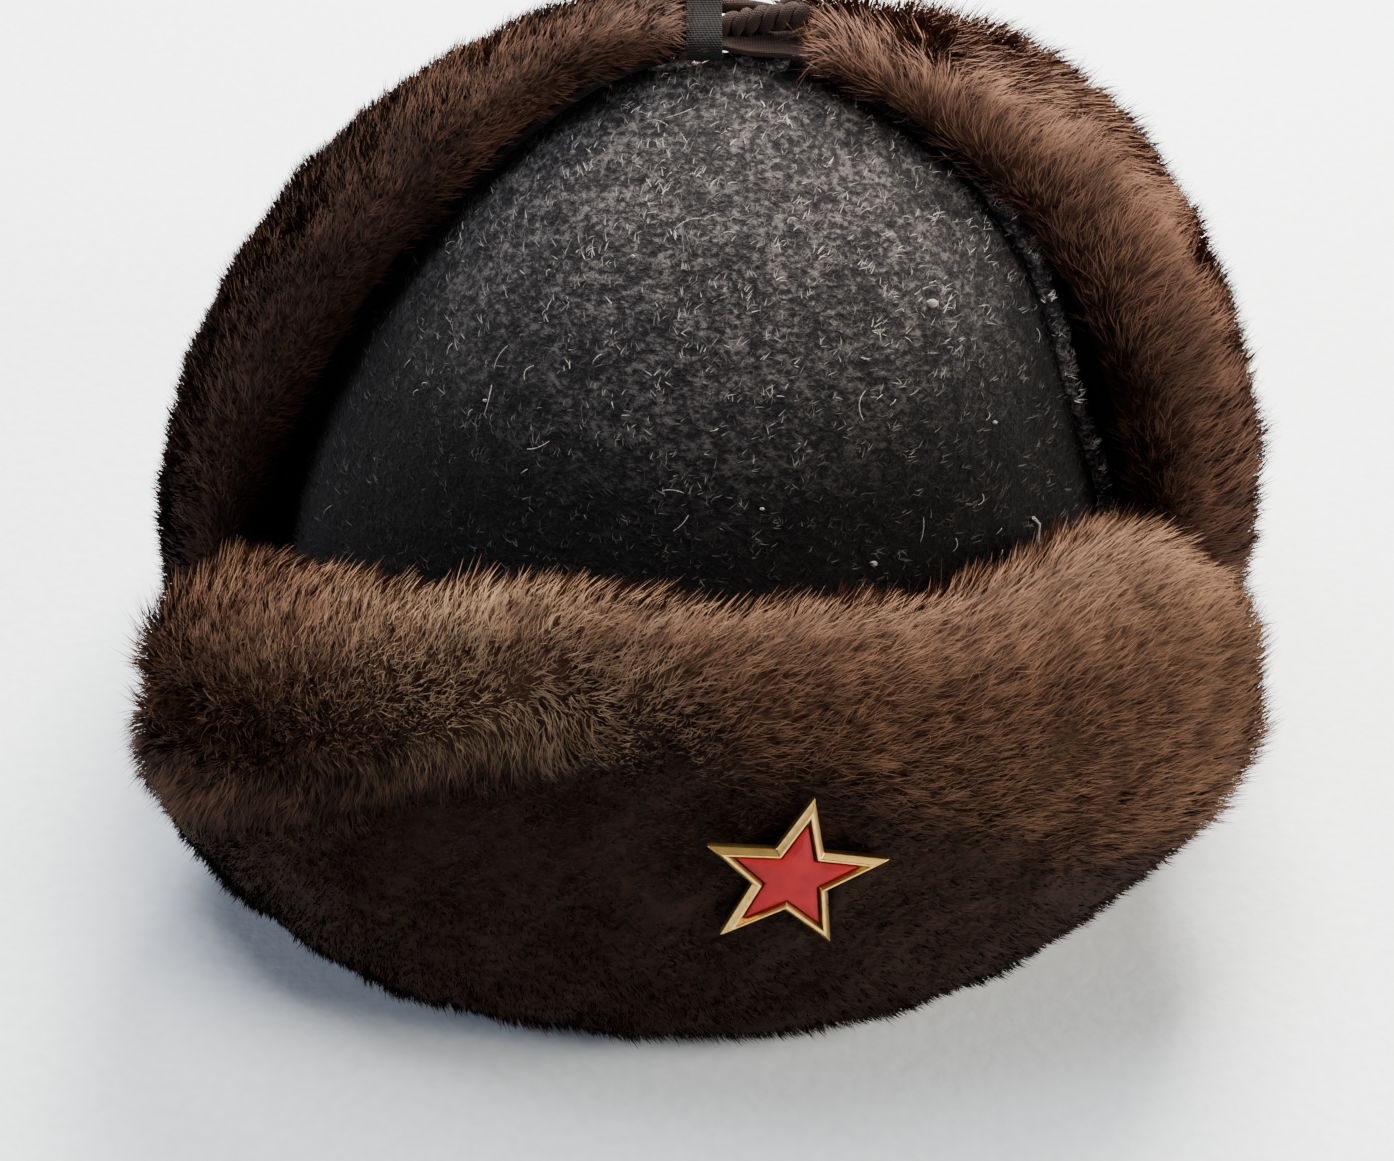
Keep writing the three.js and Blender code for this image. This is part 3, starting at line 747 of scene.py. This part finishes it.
def away_from(points, middle):
    """The level way out from an upright line through the middle."""
    out = points - np.array(middle)
    out[:, 2] = 0
    return unit(out)


def outer_side(centres, normals):
    """Keeps the hide's outer side, edges and top, and leaves out what faces the crown or the floor."""
    facing = (normals * away_from(centres, HEAD_MIDDLE)).sum(1)
    kept = (facing > -0.25) | (normals[:, 2] > 0.25) | (np.abs(normals[:, 1]) > 0.8)
    return (kept & (normals[:, 2] > -0.8)).astype(float)


def crown_side(centres, normals):
    """Keeps the outside of the crown and leaves out its hollow and its rim."""
    out = away_from(centres, HEAD_MIDDLE)
    return ((normals * out).sum(1) + normals[:, 2] > 0.1).astype(float)


def even_length(points, normals):
    """Hair of one length everywhere."""
    return np.ones(len(points))


def roll_height(points):
    """Height on the front flap, measured so that the roll's lower edge is level."""
    return points[:, 2] + ROLL_SLOPE * np.abs(points[:, 0] - ROLL_MIDDLE)


def rolled_length(low, high, start, end):
    """Hair that is short low on the flap and long on the roll along its top."""

    def share(points, normals):
        rise = np.clip((roll_height(points) - start) / (end - start), 0, 1)
        return low + (high - low) * rise

    return share


def over_crease(flow):
    """A flow that turns down where the roll hangs over the front flap."""

    def fringe(points, normals):
        near = np.clip(1 - np.abs(roll_height(points) - ROLL_EDGE) / ROLL_EDGE_REACH, 0, 1)
        left = np.clip((CREASE_END - points[:, 0]) / CREASE_FADE, 0, 1)
        return flow(points, normals) - CREASE_FALL * (near * left)[:, None] * UP

    return fringe


def thread(name, lines, radius, material, slot):
    """Round threads along lines of points, as one piece."""
    curve = bpy.data.curves.new(name, "CURVE")
    curve.dimensions = "3D"
    curve.bevel_depth = radius
    curve.bevel_resolution = 1
    curve.use_fill_caps = True
    for line in lines:
        spline = curve.splines.new("POLY")
        spline.points.add(len(line) - 1)
        spline.points.foreach_set("co", np.column_stack([line, np.ones(len(line))]).ravel())
        spline.use_smooth = True
    curve.materials.append(material)
    return stand_for(new_object(name, curve), slot)


def corners_of(node):
    """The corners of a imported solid."""
    bm = merged_copy(node)
    corners = np.array([v.co[:] for v in bm.verts])
    bm.free()
    return corners


# The seams lie where the crown's two panels are this close, one on each side of this place across
SEAM_REACH = 0.5 * MM
SEAM_SPLIT = 5 * MM
SEAM_STEP = 1 * MM
SEAM_PRESSED = 2.5 * MM


def seam_lines():
    """The crown's two seams from the rim up: points a step apart, and the ways outwards and backwards."""
    front, back = corners_of("crown_front"), corners_of("crown_back")
    apart = np.linalg.norm(front[:, None] - back[None], axis=2).min(1)
    along = front[apart < SEAM_REACH]
    others = np.linalg.norm(along[:, None] - along[None], axis=2)
    np.fill_diagonal(others, np.inf)
    partners = along[others.argmin(1)]
    outward = np.linalg.norm(along - HEAD_MIDDLE, axis=1) > np.linalg.norm(partners - HEAD_MIDDLE, axis=1)
    seams = []
    for side in (-1, 1):
        picked = outward & (side * (along[:, 0] - SEAM_SPLIT) > 0)
        order = np.argsort(along[picked][:, 2])
        points = along[picked][order]
        outs = unit(points - partners[picked][order])
        reach = np.concatenate([[0], np.cumsum(np.linalg.norm(np.diff(points, axis=0), axis=1))])
        places = np.arange(0, reach[-1], SEAM_STEP)
        points = np.stack([np.interp(places, reach, points[:, axis]) for axis in range(3)], 1)
        outs = unit(np.stack([np.interp(places, reach, outs[:, axis]) for axis in range(3)], 1))
        backs = unit(np.cross(np.gradient(points, axis=0), outs))
        backs *= np.sign(backs[:, 1:2].sum())
        seams.append((points, outs, backs))
    return seams


def stray_fibres(skin, count, keep, seed):
    """Long loose fibres that bow over a skin, as lines of points."""
    rng = np.random.default_rng(seed)
    roots, normals, _ = scatter(skin, count, keep, rng)
    lie = rng.normal(size=(count, 3)) * 0.45 + np.array((0.75, 0.2, 0.6))
    lie = unit(along_skin(lie, normals))
    side = np.cross(normals, lie) * rng.normal(size=(count, 1))
    length = (1.5 + 5 * rng.random((count, 1)) ** 3) * MM
    lines = []
    for share in np.linspace(0, 1, 7):
        bow = share * (1 - share)
        lines.append(roots + (lie * share + 0.5 * side * bow) * length + normals * (0.3 + 2 * bow) * MM)
    return np.stack(lines, 1)


def shorter_near(lines):
    """Fibres that are short beside a seam."""

    def share(points, normals):
        apart = np.sqrt(((points[:, None] - lines[None]) ** 2).sum(2).min(1))
        return np.clip(apart / SEAM_PRESSED, 0.15, 1)

    return share


def from_front(piece, across, height):
    """The spot on a piece that someone in front of the hat sees at a place across and a height."""
    tree = BVHTree.FromObject(piece, bpy.context.evaluated_depsgraph_get())
    spot, normal, _, _ = tree.ray_cast(Vector((across, -1, height)), Vector((0, 1, 0)))
    if spot is None:
        raise RuntimeError("nothing of the piece lies there")
    return np.array(spot), np.array(normal)


def steady(way):
    """A flow that lies the same way everywhere."""
    return lambda points, normals: np.broadcast_to(np.array(way), points.shape)


def tip_share(points, normals):
    """How far hair belongs to the tips of the ear flaps, which face the ties between them."""
    away = TIES_MIDDLE - points
    near = np.clip(1.6 - np.linalg.norm(away, axis=1) / TIES_REACH, 0, 1)
    return near * np.clip((unit(away) * normals).sum(1) + 0.6, 0.05, 1)


def tip_side(centres, normals):
    """Keeps the tips of the ear flaps, beside the ties."""
    return (np.linalg.norm(TIES_MIDDLE - centres, axis=1) < 1.3 * TIES_REACH).astype(float)


def to_ties(points, normals):
    """The way from each point to the middle of the ties."""
    return unit(TIES_MIDDLE - points)


def spread_flow(way, outward, upward):
    """A steady way with a fan out from the head and a rise, which turns to the ties at the flaps' tips."""

    def flow(points, normals):
        out = away_from(points, HEAD_MIDDLE)
        facing = (normals * out).sum(1, keepdims=True)
        lie = np.array(way) + outward * np.minimum(facing - 0.3, 0.5) * out + upward * UP
        return lie + 3 * tip_share(points, normals)[:, None] * to_ties(points, normals)

    return flow


def hide_piece(node, name, material, thinner=0.0):
    """The hide and the body of its pile: the solid a little thinner, with its coarse locks softened."""
    bm = merged_copy(node)
    bmesh.ops.smooth_vert(
        bm, verts=bm.verts, factor=0.5, use_axis_x=True, use_axis_y=True, use_axis_z=True
    )
    bm.normal_update()
    for vert in bm.verts:
        out = Vector((vert.co.x, vert.co.y, 0)).normalized()
        if vert.normal.dot(out) > 0:
            vert.co -= out * thinner * vert.normal.dot(out) * vert.co.z / (100 * MM)
        vert.co.z = max(vert.co.z, FLOOR_CLEAR / 2)
    return subdivide(object_from(bm, name, material))


def nap_look(settings, length_at):
    """The sizes of the crown's raised fibres, and how they stand."""
    return {
        "tuft": 2.0 * MM,
        "lobe": 7 * MM,
        "puff": 0.2,
        "swing": 50,
        "stray": 40,
        "lean": (50, 76),
        "lean_spread": 30,
        "length": settings.fibre_length,
        "length_at": length_at,
        "sink": 0.15 * MM,
        "gather": 0.2,
        "roll": 25,
        "width": settings.fibre_width,
        "crisp": 0.4,
        "mottle": 0.9,
        "shade": 0.2,
        "tuck": 0.0,
    }


def hair_look(settings, **changes):
    """The sizes of the flaps' hair and how it stands, with changes for one flap."""
    look = {
        "tuft": settings.tuft_size,
        "lobe": settings.lobe_size,
        "puff": 0.55,
        "swing": 30,
        "stray": 18,
        "lean": (26, 50),
        "lean_spread": 18,
        "length": settings.hair_length,
        "length_at": even_length,
        "sink": 1.0 * MM,
        "gather": 0.22,
        "roll": 32,
        "width": settings.hair_width,
        "crisp": 0.16,
        "mottle": 0.22,
        "shade": 0.7,
        "tuck": 0.5,
    }
    look.update(changes)
    return look


# Loose thread and lint on the crown, as millimetres across and up, with the lint's radius
HOOKED_THREAD = ((65.5, 80.5), (66.8, 78.5), (66.6, 76), (67.6, 73.8), (69.4, 72.6), (70.8, 73.4))
HOOKED_RADIUS = 0.4 * MM
HOOKED_OUT = 0.8 * MM
LINT = (
    (44.5, 121.2, 0.9),
    (33, 88, 0.6),
    (-12, 131, 0.35),
    (57, 101, 0.4),
    (-40, 108, 0.35),
    (12, 100, 0.35),
)
LINT_OUT = 0.4 * MM
LINT_SQUASH = (1.3, 0.8, 1.0, 1.0)
LOOSE_FIBRES = 110
LOOSE_RADIUS = 0.07 * MM
CLOTH_EDGE = 0.45 * MM
WALL_EDGE = 0.4 * MM
# A near-black thread in the groove between the panels as painted shade, the stitches in front of it and
# the turned edges of the cloth behind it
GROOVE_RADIUS = 0.5 * MM
GROOVE_IN = 0.1 * MM
GROOVE_FORWARD = 0.4 * MM
STITCH_RADIUS = 0.3 * MM
STITCH_OUT = 0.1 * MM
STITCH_FORWARD = 2.2 * MM
STITCH_STEPS = 3
STITCH_DIP = np.array((0.3, 0.0, 0.3)) * MM
RIDGE_RADIUS = 1.9 * MM
RIDGE_BACK = 2.0 * MM
RIDGE_OUT = 0.7 * MM
RIDGE_FROM = 56 * MM


class HAT_OT_crown(bpy.types.Operator):
    """Makes the wool panels of the crown with their nap"""

    bl_idname = "hat.crown"
    bl_label = "Crown"

    def execute(self, context):
        settings = context.scene.hat_wool
        cloth = wool_material(settings, "milled_woollen_coating")
        front = soft_cloth("crown_front", "crown_front_wool", cloth, CLOTH_EDGE)
        back = soft_cloth("crown_back", "crown_back_wool", cloth, CLOTH_EDGE)
        stand_for(front, "wool", "crown_front")
        stand_for(back, "wool", "crown_back")
        nap = nap_material(settings, "raised_wool_nap")
        # Painted light: the seam ridges' cloth and nap are made several times paler, as if lit where the
        # flaps shade them
        lit_nap = nap_material(settings, "painted_lit_wool_nap", lit_factor=6.5, shaded_factor=5.5)
        lit_edge_cloth = wool_material(settings, "painted_lit_woollen_edge", lit_factor=5.0, shaded_factor=4.0)
        sewing_and_groove_shade = woven_material("sewing_thread_and_groove_shade", linear("#070607"), SEWING_THREAD)
        pale = woven_material("loose_wool_fibre", settings.stray, SEWING_THREAD)
        seams = seam_lines()
        ridges, groove_shade_lines, stitches = [], [], []
        for points, outs, backs in seams:
            ridge = points + backs * RIDGE_BACK + outs * RIDGE_OUT
            ridges.append(ridge[points[:, 2] > RIDGE_FROM])
            # Painted shade: a near-black thread along the seam stands in for the shade in its groove
            groove_shade_lines.append(points - outs * GROOVE_IN - backs * GROOVE_FORWARD)
            row = points - backs * STITCH_FORWARD + outs * STITCH_OUT
            for start in range(1, len(row) - STITCH_STEPS, STITCH_STEPS):
                end = start + STITCH_STEPS
                stitches.append(row[start:end] - outs[start:end] * STITCH_DIP[:, None])
        ridge = thread("crown_seam_ridges", ridges, RIDGE_RADIUS, lit_edge_cloth, "wool")
        thread("crown_seam_groove_shade", groove_shade_lines, GROOVE_RADIUS, sewing_and_groove_shade, "dark_cloth")
        thread("crown_seam_stitches", stitches, STITCH_RADIUS, sewing_and_groove_shade, "dark_cloth")
        loose = stray_fibres(front, LOOSE_FIBRES, crown_side, 15)
        thread("crown_stray_fibres", loose, LOOSE_RADIUS, pale, "wool")
        hooked = [from_front(front, across * MM, height * MM) for across, height in HOOKED_THREAD]
        hooked = [spot + normal * HOOKED_OUT for spot, normal in hooked]
        thread("crown_hooked_thread", [np.array(hooked)], HOOKED_RADIUS, pale, "wool")
        bm = bmesh.new()
        for across, height, size in LINT:
            spot, normal = from_front(front, across * MM, height * MM)
            place = Matrix.Translation(spot + normal * LINT_OUT) @ Matrix.Diagonal(LINT_SQUASH)
            bmesh.ops.create_icosphere(bm, subdivisions=2, radius=size * MM, matrix=place)
        stand_for(object_from(bm, "crown_lint", pale), "wool")
        pressed = nap_look(settings, shorter_near(np.concatenate([points for points, _, _ in seams])))
        even = nap_look(settings, even_length)
        way = steady((0.65, 0.75, 0.6))
        for skin, name, look, material, seed in (
            (front, "crown_front_nap", pressed, nap, 11),
            (back, "crown_back_nap", pressed, nap, 12),
            (ridge, "crown_seam_nap", even, lit_nap, 13),
        ):
            stand_for(grow(name, skin, crown_side, way, look, material, seed), "wool")
        return {"FINISHED"}


# How much thinner the hide is than its solid, at a tenth of a metre up
HIDE_THINNER = 1 * MM


class HAT_OT_cloth_walls(bpy.types.Operator):
    """Makes the cloth walls behind the fur of the flaps"""

    bl_idname = "hat.cloth_walls"
    bl_label = "Cloth walls"

    def execute(self, context):
        # Painted shade: the cloth behind the flaps' fur is near black, so that the gaps beside the crown
        # read as deep shade
        shade_dark_lining = woven_material("shade_dark_cotton_twill", linear("#0d0a0a"), TWILL_THREAD)
        # The facing behind the front flap is painted darker, most of all low down, as painted shade
        cloth = wool_material(context.scene.hat_wool, "woollen_facing", lit_factor=0.7, shaded_factor=0.1)
        for node in ("ear_flap_left_cloth", "ear_flap_right_cloth", "neck_flap_cloth"):
            stand_for(soft_cloth(node, node + "_wall", shade_dark_lining, WALL_EDGE), "dark_cloth", node)
        stand_for(soft_cloth("visor_cloth", "visor_cloth_wall", cloth, WALL_EDGE), "wool", "visor_cloth")
        return {"FINISHED"}


class HAT_OT_front_flap(bpy.types.Operator):
    """Makes the front flap's hide and pile"""

    bl_idname = "hat.front_flap"
    bl_label = "Front flap"

    def execute(self, context):
        settings = context.scene.hat_pile
        pile = pile_material(settings, "dyed_mouton_pile", FRONT_WEAR_AND_LIGHT, settings.worn_and_lit_tip)
        skin = hide_material(settings, "mouton_hide", FRONT_WEAR_AND_LIGHT)
        hide = hide_piece("visor_fur", "front_flap_hide", skin, HIDE_THINNER)
        stand_for(hide, "fur", "visor_fur")
        flow = over_crease(spread_flow((0.75, 0.1, 0.0), 0.0, 0.55))
        grown = rolled_length(0.6, 1.25, 82 * MM, 94 * MM)
        under = hair_look(
            settings, length=0.85 * settings.hair_length, length_at=grown, lobe=13 * MM, puff=0.72
        )
        outer = hair_look(
            settings,
            lobe=13 * MM,
            puff=0.72,
            lean=(24, 46),
            roll=40,
            width=0.85 * settings.hair_width,
            length_at=grown,
        )
        for name, look, seed in (("underfur", under, 21), ("outer_hair", outer, 22)):
            stand_for(grow(f"front_flap_{name}", hide, outer_side, flow, look, pile, seed), "fur")
        return {"FINISHED"}


class HAT_OT_ear_flaps(bpy.types.Operator):
    """Makes the hides and pile of the two ear flaps"""

    bl_idname = "hat.ear_flaps"
    bl_label = "Ear flaps"

    def execute(self, context):
        settings = context.scene.hat_pile
        # Painted shade keeps the left flap mostly fresh and dark, and painted light makes the right flap
        # mostly worn and pale
        for side, wear_and_light, thinner, length, seed in (
            ("left", LEFT_WEAR_AND_SHADE, 4.5 * MM, 0.9, 31),
            ("right", RIGHT_WEAR_AND_LIGHT, 0.0, 1.45, 32),
        ):
            node = f"ear_flap_{side}_fur"
            skin = hide_material(settings, f"mouton_{side}_hide", wear_and_light)
            hide = hide_piece(node, f"ear_flap_{side}_hide", skin, thinner)
            stand_for(hide, "fur", node)
            pile = pile_material(settings, f"dyed_mouton_{side}_pile", wear_and_light, settings.side_worn_and_lit_tip)
            flow = spread_flow((0.3, -0.1, 0.0), 0.9, 0.6)
            look = hair_look(
                settings,
                length=length * settings.hair_length,
                lean=(30, 52),
                lobe=12 * MM,
                puff=0.55,
                shade=0.7,
                crisp=0.1,
            )
            stand_for(grow(f"ear_flap_{side}_pile", hide, outer_side, flow, look, pile, seed), "fur")
            tip = hair_look(
                settings, length=1.7 * settings.hair_length, lean=(52, 84), length_at=tip_share, tuck=0.0
            )
            tip_hair = grow(f"ear_flap_{side}_tip_hair", hide, tip_side, to_ties, tip, pile, seed + 4)
            stand_for(tip_hair, "fur")
        return {"FINISHED"}


class HAT_OT_neck_flap(bpy.types.Operator):
    """Makes the neck flap's hide and pile"""

    bl_idname = "hat.neck_flap"
    bl_label = "Neck flap"

    def execute(self, context):
        settings = context.scene.hat_pile
        pile = pile_material(settings, "dyed_mouton_neck_pile", NECK_WEAR_AND_LIGHT, settings.side_worn_and_lit_tip)
        skin = hide_material(settings, "mouton_neck_hide", NECK_WEAR_AND_LIGHT)
        hide = hide_piece("neck_flap_fur", "neck_flap_hide", skin, HIDE_THINNER)
        stand_for(hide, "fur", "neck_flap_fur")
        flow = spread_flow((0.5, 0.0, 0.0), 0.3, 0.6)
        look = hair_look(settings, length=1.1 * settings.hair_length)
        stand_for(grow("neck_flap_pile", hide, outer_side, flow, look, pile, 41), "fur")
        return {"FINISHED"}


class HAT_OT_badge(bpy.types.Operator):
    """Makes the star badge with rounded edges"""

    bl_idname = "hat.badge"
    bl_label = "Badge"

    def execute(self, context):
        settings = context.scene.hat_badge
        gilt = gilt_material(settings)
        for node, name, material, slot in (
            ("star_rim", "badge_border", gilt, "gilt"),
            ("star_enamel", "badge_enamel", enamel_material(settings), "enamel"),
        ):
            bm = merged_copy(node)
            round_edges(bm, 20, settings.edge_round)
            piece = object_from(bm, name, material)
            piece.modifiers.new("Flat faces", "WEIGHTED_NORMAL")
            stand_for(piece, slot, node)
        pin = NODES["star_post"].material_slots[0]
        pin.link = "OBJECT"
        pin.material = gilt
        return {"FINISHED"}


# The twisted loose end of the lace, between the lace and the strap
LACE_END = ((0.5 * MM, 15.5 * MM, 151.6 * MM), (21 * MM, 16 * MM, 155.5 * MM))
LACE_SAG = 0.7 * MM
LACE_TURNS = 3.5
LACE_TWIST = 1.45 * MM


class HAT_OT_ties(bpy.types.Operator):
    """Makes the lace, strap and tape over the crown"""

    bl_idname = "hat.ties"
    bl_label = "Ties"

    def execute(self, context):
        settings = context.scene.hat_badge
        brown = woven_material("rolled_cotton_lace", settings.lace, LACE_THREAD)
        dark = woven_material("cotton_tape", settings.tape, TAPE_THREAD)
        for node, name, material, slot, edge in (
            ("tie_lace", "tie_lace_rolled", brown, "lace", 0),
            ("tie_strap", "tie_strap_sewn", brown, "lace", 0.3),
            ("tie_tape", "tie_tape_woven", dark, "tape", 0.25),
        ):
            if edge:
                piece = soft_cloth(node, name, material, edge * MM)
            else:
                piece = subdivide(object_from(merged_copy(node), name, material))
            stand_for(piece, slot, node)
        start, end = np.array(LACE_END)
        shares = np.linspace(0, 1, 40)[:, None]
        middle = start + (end - start) * shares + UP * 4 * LACE_SAG * shares * (1 - shares)
        turns = 2 * math.pi * LACE_TURNS * shares
        twist = (np.cos(turns) * UP + np.sin(turns) * np.array((0, 1, 0))) * LACE_TWIST
        thread("tie_lace_end", [middle + twist, middle - twist], LACE_TWIST, brown, "lace")
        return {"FINISHED"}


LOOK_AT = Vector((0.0, -82 * MM, 95 * MM))
LIT_MIDDLE = Vector((0.0, 0.0, 60 * MM))
LENS = 64.4
SENSOR = 36.0
FLOOR_REACH = 3.0
SKY_STRENGTH = 0.12


class HAT_OT_stage(bpy.types.Operator):
    """Makes the floor, the soft light and the camera"""

    bl_idname = "hat.stage"
    bl_label = "Stage"

    def execute(self, context):
        settings = context.scene.hat_stage
        scene = context.scene
        bm = bmesh.new()
        bmesh.ops.create_grid(bm, x_segments=8, y_segments=8, size=FLOOR_REACH)
        material = sheet_material(settings)
        object_from(bm, "floor", material)

        for name, spot, size, power, colour in (
            ("key_light", (0.25, 0.97, 1.02), 0.7, settings.key_power, "#fff8ee"),
            ("top_light", (-0.3, 0.3, 1.42), 0.7, 0.24 * settings.key_power, "#f8f8ff"),
            ("side_light", (1.3, -0.45, 0.75), 0.6, 0.28 * settings.key_power, "#fff6ea"),
            ("fill_light", (-1.4, -0.35, 0.6), 0.8, settings.fill_power, "#dfe8fc"),
        ):
            light = bpy.data.lights.new(name, "AREA")
            light.size = size
            light.energy = power
            light.color = linear(colour)
            lamp = new_object(name, light)
            lamp.location = spot
            lamp.rotation_euler = (LIT_MIDDLE - lamp.location).to_track_quat("-Z", "Y").to_euler()

        world = bpy.data.worlds.new("room")
        world.use_nodes = True
        sky = world.node_tree.nodes["Background"]
        sky.inputs["Color"].default_value = rgba(linear("#d9e4f2"))
        sky.inputs["Strength"].default_value = SKY_STRENGTH
        scene.world = world

        camera = bpy.data.cameras.new("camera")
        camera.sensor_width = SENSOR
        camera.lens = LENS
        camera.clip_start = 0.01
        eye = new_object("camera", camera)
        back = Vector((0.0, -math.cos(settings.elevation), math.sin(settings.elevation)))
        eye.location = LOOK_AT + back * settings.distance
        eye.rotation_euler = (-back).to_track_quat("-Z", "Y").to_euler()
        scene.camera = eye
        return {"FINISHED"}


class HAT_PT_panel(bpy.types.Panel):
    """Lists the hat's pieces and settings"""

    bl_idname = "HAT_PT_panel"
    bl_label = "Fur winter hat"
    bl_space_type = "VIEW_3D"
    bl_region_type = "UI"
    bl_category = "Hat"

    def draw(self, context):
        for operator in OPERATORS:
            self.layout.operator(operator.bl_idname)
        for name in SETTINGS:
            group = getattr(context.scene, name)
            box = self.layout.box()
            for setting in group.__annotations__:
                box.prop(group, setting)


SETTINGS = {
    "hat_pile": HatPileSettings,
    "hat_wool": HatWoolSettings,
    "hat_badge": HatBadgeSettings,
    "hat_stage": HatStageSettings,
}
OPERATORS = (
    HAT_OT_crown,
    HAT_OT_cloth_walls,
    HAT_OT_front_flap,
    HAT_OT_ear_flaps,
    HAT_OT_neck_flap,
    HAT_OT_badge,
    HAT_OT_ties,
    HAT_OT_stage,
)


def register():
    for made in (*SETTINGS.values(), *OPERATORS, HAT_PT_panel):
        bpy.utils.register_class(made)
    for name, group in SETTINGS.items():
        setattr(bpy.types.Scene, name, bpy.props.PointerProperty(type=group))


def unregister():
    for name in SETTINGS:
        delattr(bpy.types.Scene, name)
    for made in reversed((*SETTINGS.values(), *OPERATORS, HAT_PT_panel)):
        bpy.utils.unregister_class(made)


def main():
    register()
    for operator in OPERATORS:
        group, name = operator.bl_idname.split(".")
        getattr(getattr(bpy.ops, group), name)()


if __name__ == "__main__":
    main()
